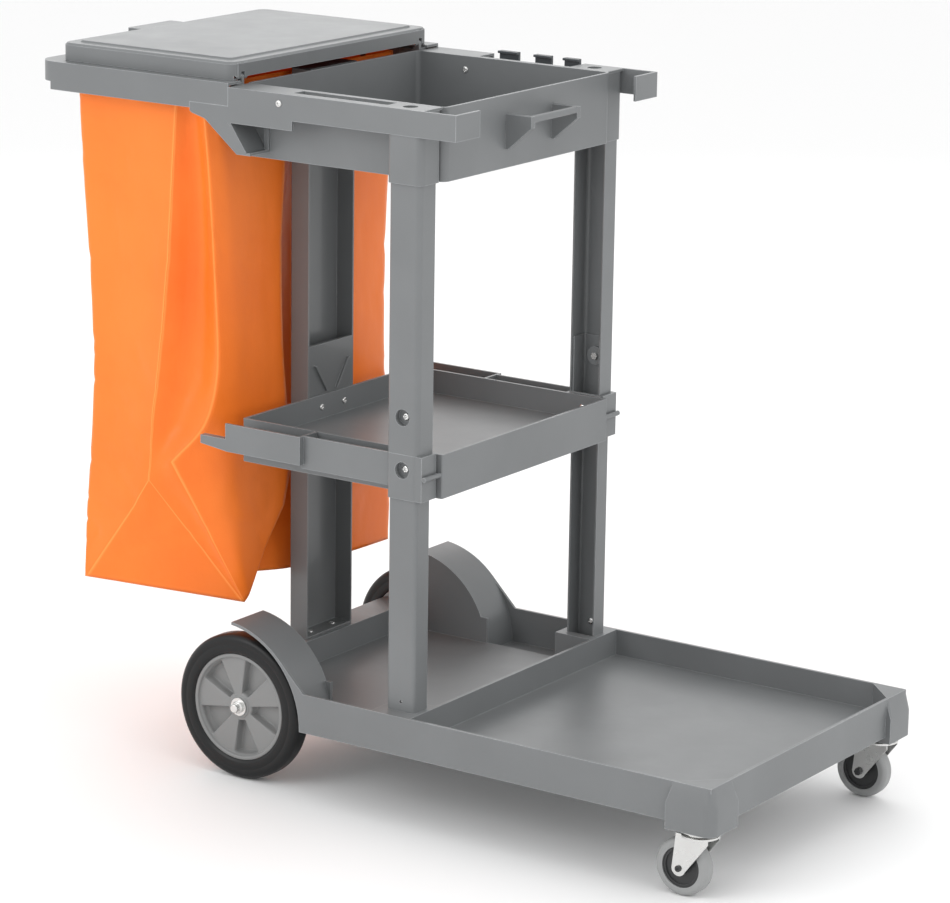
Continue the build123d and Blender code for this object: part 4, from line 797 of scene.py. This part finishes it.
def tyre_profile():
    """Half section of a tyre, from its bead round the tread and back."""
    inner, outer = TYRE_LOW.y, TYRE_HIGH.y
    shoulder = TYRE_R - SHOULDER_R
    wall = [(RIM_R + 1.0, 2.2), (RIM_R + 2.2, 0.7), (RIM_R + 4.0, 0.0), (LINE_R - 0.9, 0.0),
            (LINE_R - 0.4, 0.2), (LINE_R + 0.4, 0.2), (LINE_R + 0.9, 0.0)]
    outside = [(r, outer - dip) for r, dip in wall]
    outside += arc(shoulder, outer - SHOULDER_R, SHOULDER_R, 90, 0)
    inside = arc(shoulder, inner + SHOULDER_R, SHOULDER_R, 0, -90)
    inside += [(r, inner + dip) for r, dip in wall[::-1]]
    return [(RIM_R + 0.1, outer - 2.4)] + outside + inside + [(RIM_R + 0.1, inner + 2.4)]


for side, sign in SIDES.items():
    mesh = lathe("tyre_" + side, in_metres(tyre_profile(), sign), TYRE_STEPS, centre=AXLE_AT)
    add_piece("tyre_" + side, mesh, "wheel_" + side, ["wheel_tyre_" + side], "black_rubber")

# %% [markdown]
# ## Hubs with Geometry Nodes
# The hub is a turned disc with five pockets pressed between five wedge spokes. The pockets follow
# a rule of angle and radius, so a Geometry Nodes tree presses them into a plain turned blank: the
# blank's points move inwards by a mask of angle times a mask of radius.

# %% Pocket tree
def pocket_tree():
    """Presses evenly spaced pockets into the face of a disc that turns round the Y axis."""
    tree, given, out = start_tree("Wheel Pockets", [
        ("Spokes", "NodeSocketFloat"), ("Phase", "NodeSocketFloat"), ("Spoke Share", "NodeSocketFloat"),
        ("Inner Radius", "NodeSocketFloat"), ("Outer Radius", "NodeSocketFloat"),
        ("Depth", "NodeSocketFloat"), ("Wall", "NodeSocketFloat"), ("Face From", "NodeSocketFloat"),
        ("Finish", "NodeSocketMaterial")])
    pick = given.outputs
    split = tree.nodes.new("ShaderNodeSeparateXYZ")
    tree.links.new(tree.nodes.new("GeometryNodeInputPosition").outputs[0], split.inputs[0])
    x, y, z = split.outputs
    radius = math_node(tree, "SQRT", math_node(tree, "ADD", math_node(tree, "MULTIPLY", x, x),
                                               math_node(tree, "MULTIPLY", z, z)))
    period = math_node(tree, "DIVIDE", 2 * math.pi, pick["Spokes"])
    turned = math_node(tree, "SUBTRACT", math_node(tree, "ARCTAN2", z, x), pick["Phase"])
    turns = math_node(tree, "ADD", math_node(tree, "DIVIDE", turned, period), 20.5)
    across = math_node(tree, "ABSOLUTE", math_node(tree, "SUBTRACT", math_node(tree, "FRACT", turns), 0.5))
    beyond = math_node(tree, "SUBTRACT", math_node(tree, "MULTIPLY", across, 2.0), pick["Spoke Share"])
    arc_out = math_node(tree, "MULTIPLY", math_node(tree, "MULTIPLY", beyond, radius),
                        math_node(tree, "MULTIPLY", period, 0.5))
    masks = []
    for distance in (arc_out, math_node(tree, "SUBTRACT", radius, pick["Inner Radius"]),
                     math_node(tree, "SUBTRACT", pick["Outer Radius"], radius)):
        step = tree.nodes.new("ShaderNodeMapRange")
        step.interpolation_type = "SMOOTHSTEP"
        tree.links.new(math_node(tree, "DIVIDE", distance, pick["Wall"]), step.inputs["Value"])
        masks.append(step.outputs["Result"])
    on_face = math_node(tree, "GREATER_THAN", math_node(tree, "ABSOLUTE", y), pick["Face From"])
    mask = math_node(tree, "MULTIPLY", math_node(tree, "MULTIPLY", masks[0], masks[1]),
                     math_node(tree, "MULTIPLY", masks[2], on_face))
    inward = math_node(tree, "MULTIPLY", math_node(tree, "SIGN", y),
                       math_node(tree, "MULTIPLY", mask, math_node(tree, "MULTIPLY", pick["Depth"], -1.0)))
    offset = tree.nodes.new("ShaderNodeCombineXYZ")
    tree.links.new(inward, offset.inputs["Y"])
    move = tree.nodes.new("GeometryNodeSetPosition")
    tree.links.new(pick["Geometry"], move.inputs["Geometry"])
    tree.links.new(offset.outputs[0], move.inputs["Offset"])
    end_tree(tree, given, out, move.outputs["Geometry"])
    return tree


# %% Hubs
HUB_LOW, HUB_HIGH = (Vector(c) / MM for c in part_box("wheel_hub_left"))
BORE_R = 6.1
BOSS_R = 16.0
FACE_DROP = 4.2            # spoke face below the rim's lip
FACE_RINGS = 36
HUB_STEPS = 300
POCKET = {"Spokes": 5.0, "Phase": math.radians(28.0), "Spoke Share": 0.5, "Inner Radius": 0.0195,
          "Outer Radius": 0.0675, "Depth": 0.012, "Wall": 0.0022}


def hub_profile():
    """Half section of a hub: boss, spoke face, rim with its lip, rear disc and bore."""
    outer, inner, face = HUB_HIGH.y, HUB_LOW.y, HUB_HIGH.y - FACE_DROP
    boss = [(BORE_R, outer - 2.9), (BORE_R + 0.4, outer - 2.7), (BOSS_R - 1.2, outer - 2.7),
            (BOSS_R - 0.4, outer - 3.0), (BOSS_R, outer - 3.7), (BOSS_R + 0.6, face)]
    start, end = BOSS_R + 1.6, RIM_R - 6.6
    spokes = [(start + (end - start) * k / FACE_RINGS, face) for k in range(FACE_RINGS + 1)]
    rim = [(RIM_R - 6.0, face + 0.2), (RIM_R - 5.5, outer - 1.6), (RIM_R - 4.8, outer - 0.5),
           (RIM_R - 3.6, outer), (RIM_R - 1.3, outer), (RIM_R - 0.3, outer - 0.5), (RIM_R, outer - 1.6)]
    rear = [(RIM_R, inner + 2.0), (RIM_R - 0.6, inner + 1.5), (RIM_R - 5.4, inner + 1.5),
            (RIM_R - 6.0, inner + 2.1), (RIM_R - 6.0, inner + 9.0), (RIM_R - 6.6, inner + 9.5),
            (BOSS_R + 0.6, inner + 9.5), (BOSS_R, inner + 9.0), (BOSS_R, inner + 0.6),
            (BOSS_R - 0.6, inner), (BORE_R, inner)]
    return boss + spokes + rim + rear


POCKETS = pocket_tree()
for side, sign in SIDES.items():
    blank = lathe("hub_blank", in_metres(hub_profile(), sign), HUB_STEPS)
    values = dict(POCKET, Finish=FINISHES["hub_plastic"])
    values["Face From"] = (HUB_HIGH.y - FACE_DROP - 2.0) * MM
    mesh = grow("hub_" + side, blank, POCKETS, values)
    mesh.transform(Matrix.Translation(AXLE_AT))
    add_piece("hub_" + side, mesh, "wheel_" + side, ["wheel_hub_" + side], "hub_plastic")

# %% [markdown]
# ## Screws and eyelets
# The same pan-head screw holds the tray, the shelf, the posts and the column. One head is turned
# with its cross recess, and a Geometry Nodes tree sets a copy on every screw's place, sized and
# turned by attributes on the points. The bag's eyelets use the same tree with a zinc ring.

# %% Stamp tree
def stamp_tree():
    """Sets a shape on every point, scaled by its 'size' and turned to its 'facing'."""
    tree, given, out = start_tree(
        "Stamp Shape", [("Shape", "NodeSocketObject"), ("Finish", "NodeSocketMaterial")])
    shape = tree.nodes.new("GeometryNodeObjectInfo")
    tree.links.new(given.outputs["Shape"], shape.inputs["Object"])
    facing = tree.nodes.new("GeometryNodeInputNamedAttribute")
    facing.data_type = "FLOAT_VECTOR"
    facing.inputs["Name"].default_value = "facing"
    size = tree.nodes.new("GeometryNodeInputNamedAttribute")
    size.data_type = "FLOAT"
    size.inputs["Name"].default_value = "size"
    turn = tree.nodes.new("FunctionNodeAlignRotationToVector")
    turn.axis = "Y"
    tree.links.new(facing.outputs["Attribute"], turn.inputs["Vector"])
    stamp = tree.nodes.new("GeometryNodeInstanceOnPoints")
    tree.links.new(given.outputs["Geometry"], stamp.inputs["Points"])
    tree.links.new(shape.outputs["Geometry"], stamp.inputs["Instance"])
    tree.links.new(turn.outputs["Rotation"], stamp.inputs["Rotation"])
    tree.links.new(size.outputs["Attribute"], stamp.inputs["Scale"])
    end_tree(tree, given, out, stamp.outputs["Instances"])
    return tree


STAMP = stamp_tree()


def stamped(name, places, shape_mesh, finish):
    """One mesh with the shape stamped at each (point, facing, size)."""
    shape = bpy.data.objects.new(name + "_shape", shape_mesh)
    bpy.context.scene.collection.objects.link(shape)
    points = bpy.data.meshes.new(name + "_points")
    points.from_pydata([tuple(point) for point, _, _ in places], [], [])
    points.attributes.new("facing", "FLOAT_VECTOR", "POINT")
    points.attributes.new("size", "FLOAT", "POINT")
    for i, (_, direction, scale) in enumerate(places):
        points.attributes["facing"].data[i].vector = direction
        points.attributes["size"].data[i].value = scale
    made = grow(name, points, STAMP, {"Shape": shape, "Finish": FINISHES[finish]})
    bpy.data.objects.remove(shape)
    return made


# %% Screw heads
HEAD_PROFILE = [
    (0.0, 0.46), (0.1, 0.46), (0.2, 0.455), (0.3, 0.45), (0.4, 0.44), (0.5, 0.425), (0.6, 0.405),
    (0.7, 0.38), (0.8, 0.34), (0.88, 0.29), (0.95, 0.22), (0.99, 0.13), (1.0, 0.04), (1.0, -0.02),
    (0.0, -0.02)]
HEAD_STEPS = 48
HEAD_CROWN = 0.3           # points above this belong to the crown, where the recess is pressed
RECESS_HALF_W = 0.16
RECESS_REACH = 0.56
RECESS_DEPTH = 0.44


def screw_head():
    """A pan head of radius 1 with a cross recess, facing +Y."""
    mesh = lathe("screw_head", HEAD_PROFILE, HEAD_STEPS, closed=False)
    for vert in mesh.vertices:
        reach = max(abs(vert.co.x), abs(vert.co.z))
        width = min(abs(vert.co.x), abs(vert.co.z))
        if vert.co.y > HEAD_CROWN and reach < RECESS_REACH and width < RECESS_HALF_W:
            vert.co.y -= RECESS_DEPTH
    return mesh


def screw_places(node, bare_head=1.0):
    """Place, facing and radius of each screw in a packed group, read from its separate solids.

    The shank tells which way a screw faces. A head with no shank faces away from the cart's
    middle, or towards it where bare_head is -1.
    """
    net = bmesh.new()
    net.from_mesh(frame["nodes"][node].data)
    bmesh.ops.remove_doubles(net, verts=net.verts, dist=0.00001)
    left, places = set(net.verts), []
    while left:
        island, edge = set(), [next(iter(left))]
        while edge:
            vert = edge.pop()
            if vert in island:
                continue
            island.add(vert)
            edge += [link.other_vert(vert) for link in vert.link_edges]
        left -= island
        points = np.array([vert.co[:] for vert in island])
        low, high = points.min(axis=0), points.max(axis=0)
        size, middle = high - low, (low + high) / 2
        along = min(range(3), key=lambda k: abs(size[(k + 1) % 3] - size[(k + 2) % 3]))
        radius = size[(along + 1) % 3] / 2
        from_axis = np.delete(points - middle, along, axis=1)
        rim = points[np.hypot(from_axis[:, 0], from_axis[:, 1]) > 0.9 * radius][:, along]
        lean = rim.mean() - middle[along]
        if abs(lean) < 0.05 * MM:
            lean = bare_head * middle[along]
        outward = 1.0 if lean > 0 else -1.0
        seat = rim.min() if outward > 0 else rim.max()
        point, facing = middle.copy(), np.zeros(3)
        point[along], facing[along] = seat, outward
        places.append((tuple(point), tuple(facing), float(radius)))
    net.free()
    return sorted(places)


for node in ("tray_screws", "shelf_screws", "foot_screws", "column_screws", "post_bolts"):
    places = screw_places(node, -1.0 if node == "shelf_screws" else 1.0)
    heads = stamped(node, places, screw_head(), "zinc_steel")
    add_piece(node.replace("_", "_pan_"), heads, "cart", [node], "zinc_steel")

# %% Eyelets
EYELET_R = 5.6
EYELET_WIRE = 1.1
EYELET_STEPS = 40


def eyelet_places():
    """A place on the bag's rim for each peg, facing into the bag."""
    places = []
    for (x, y, z), facing, _ in screw_places("bag_pegs"):
        point = Vector((x, y, z))
        k = 0 if abs(facing[0]) > 0.5 else 1
        point[k] = BAG_LOW[k] if facing[k] > 0 else BAG_HIGH[k]
        places.append((tuple(point), facing, EYELET_R * MM))
    return places


ring = lathe("eyelet", arc(1.0, 0.0, EYELET_WIRE / EYELET_R, 0, 330, 11), EYELET_STEPS)
eyelets = stamped("eyelets", eyelet_places(), ring, "zinc_steel")
add_piece("bag_eyelets", eyelets, "cart", [], "zinc_steel")
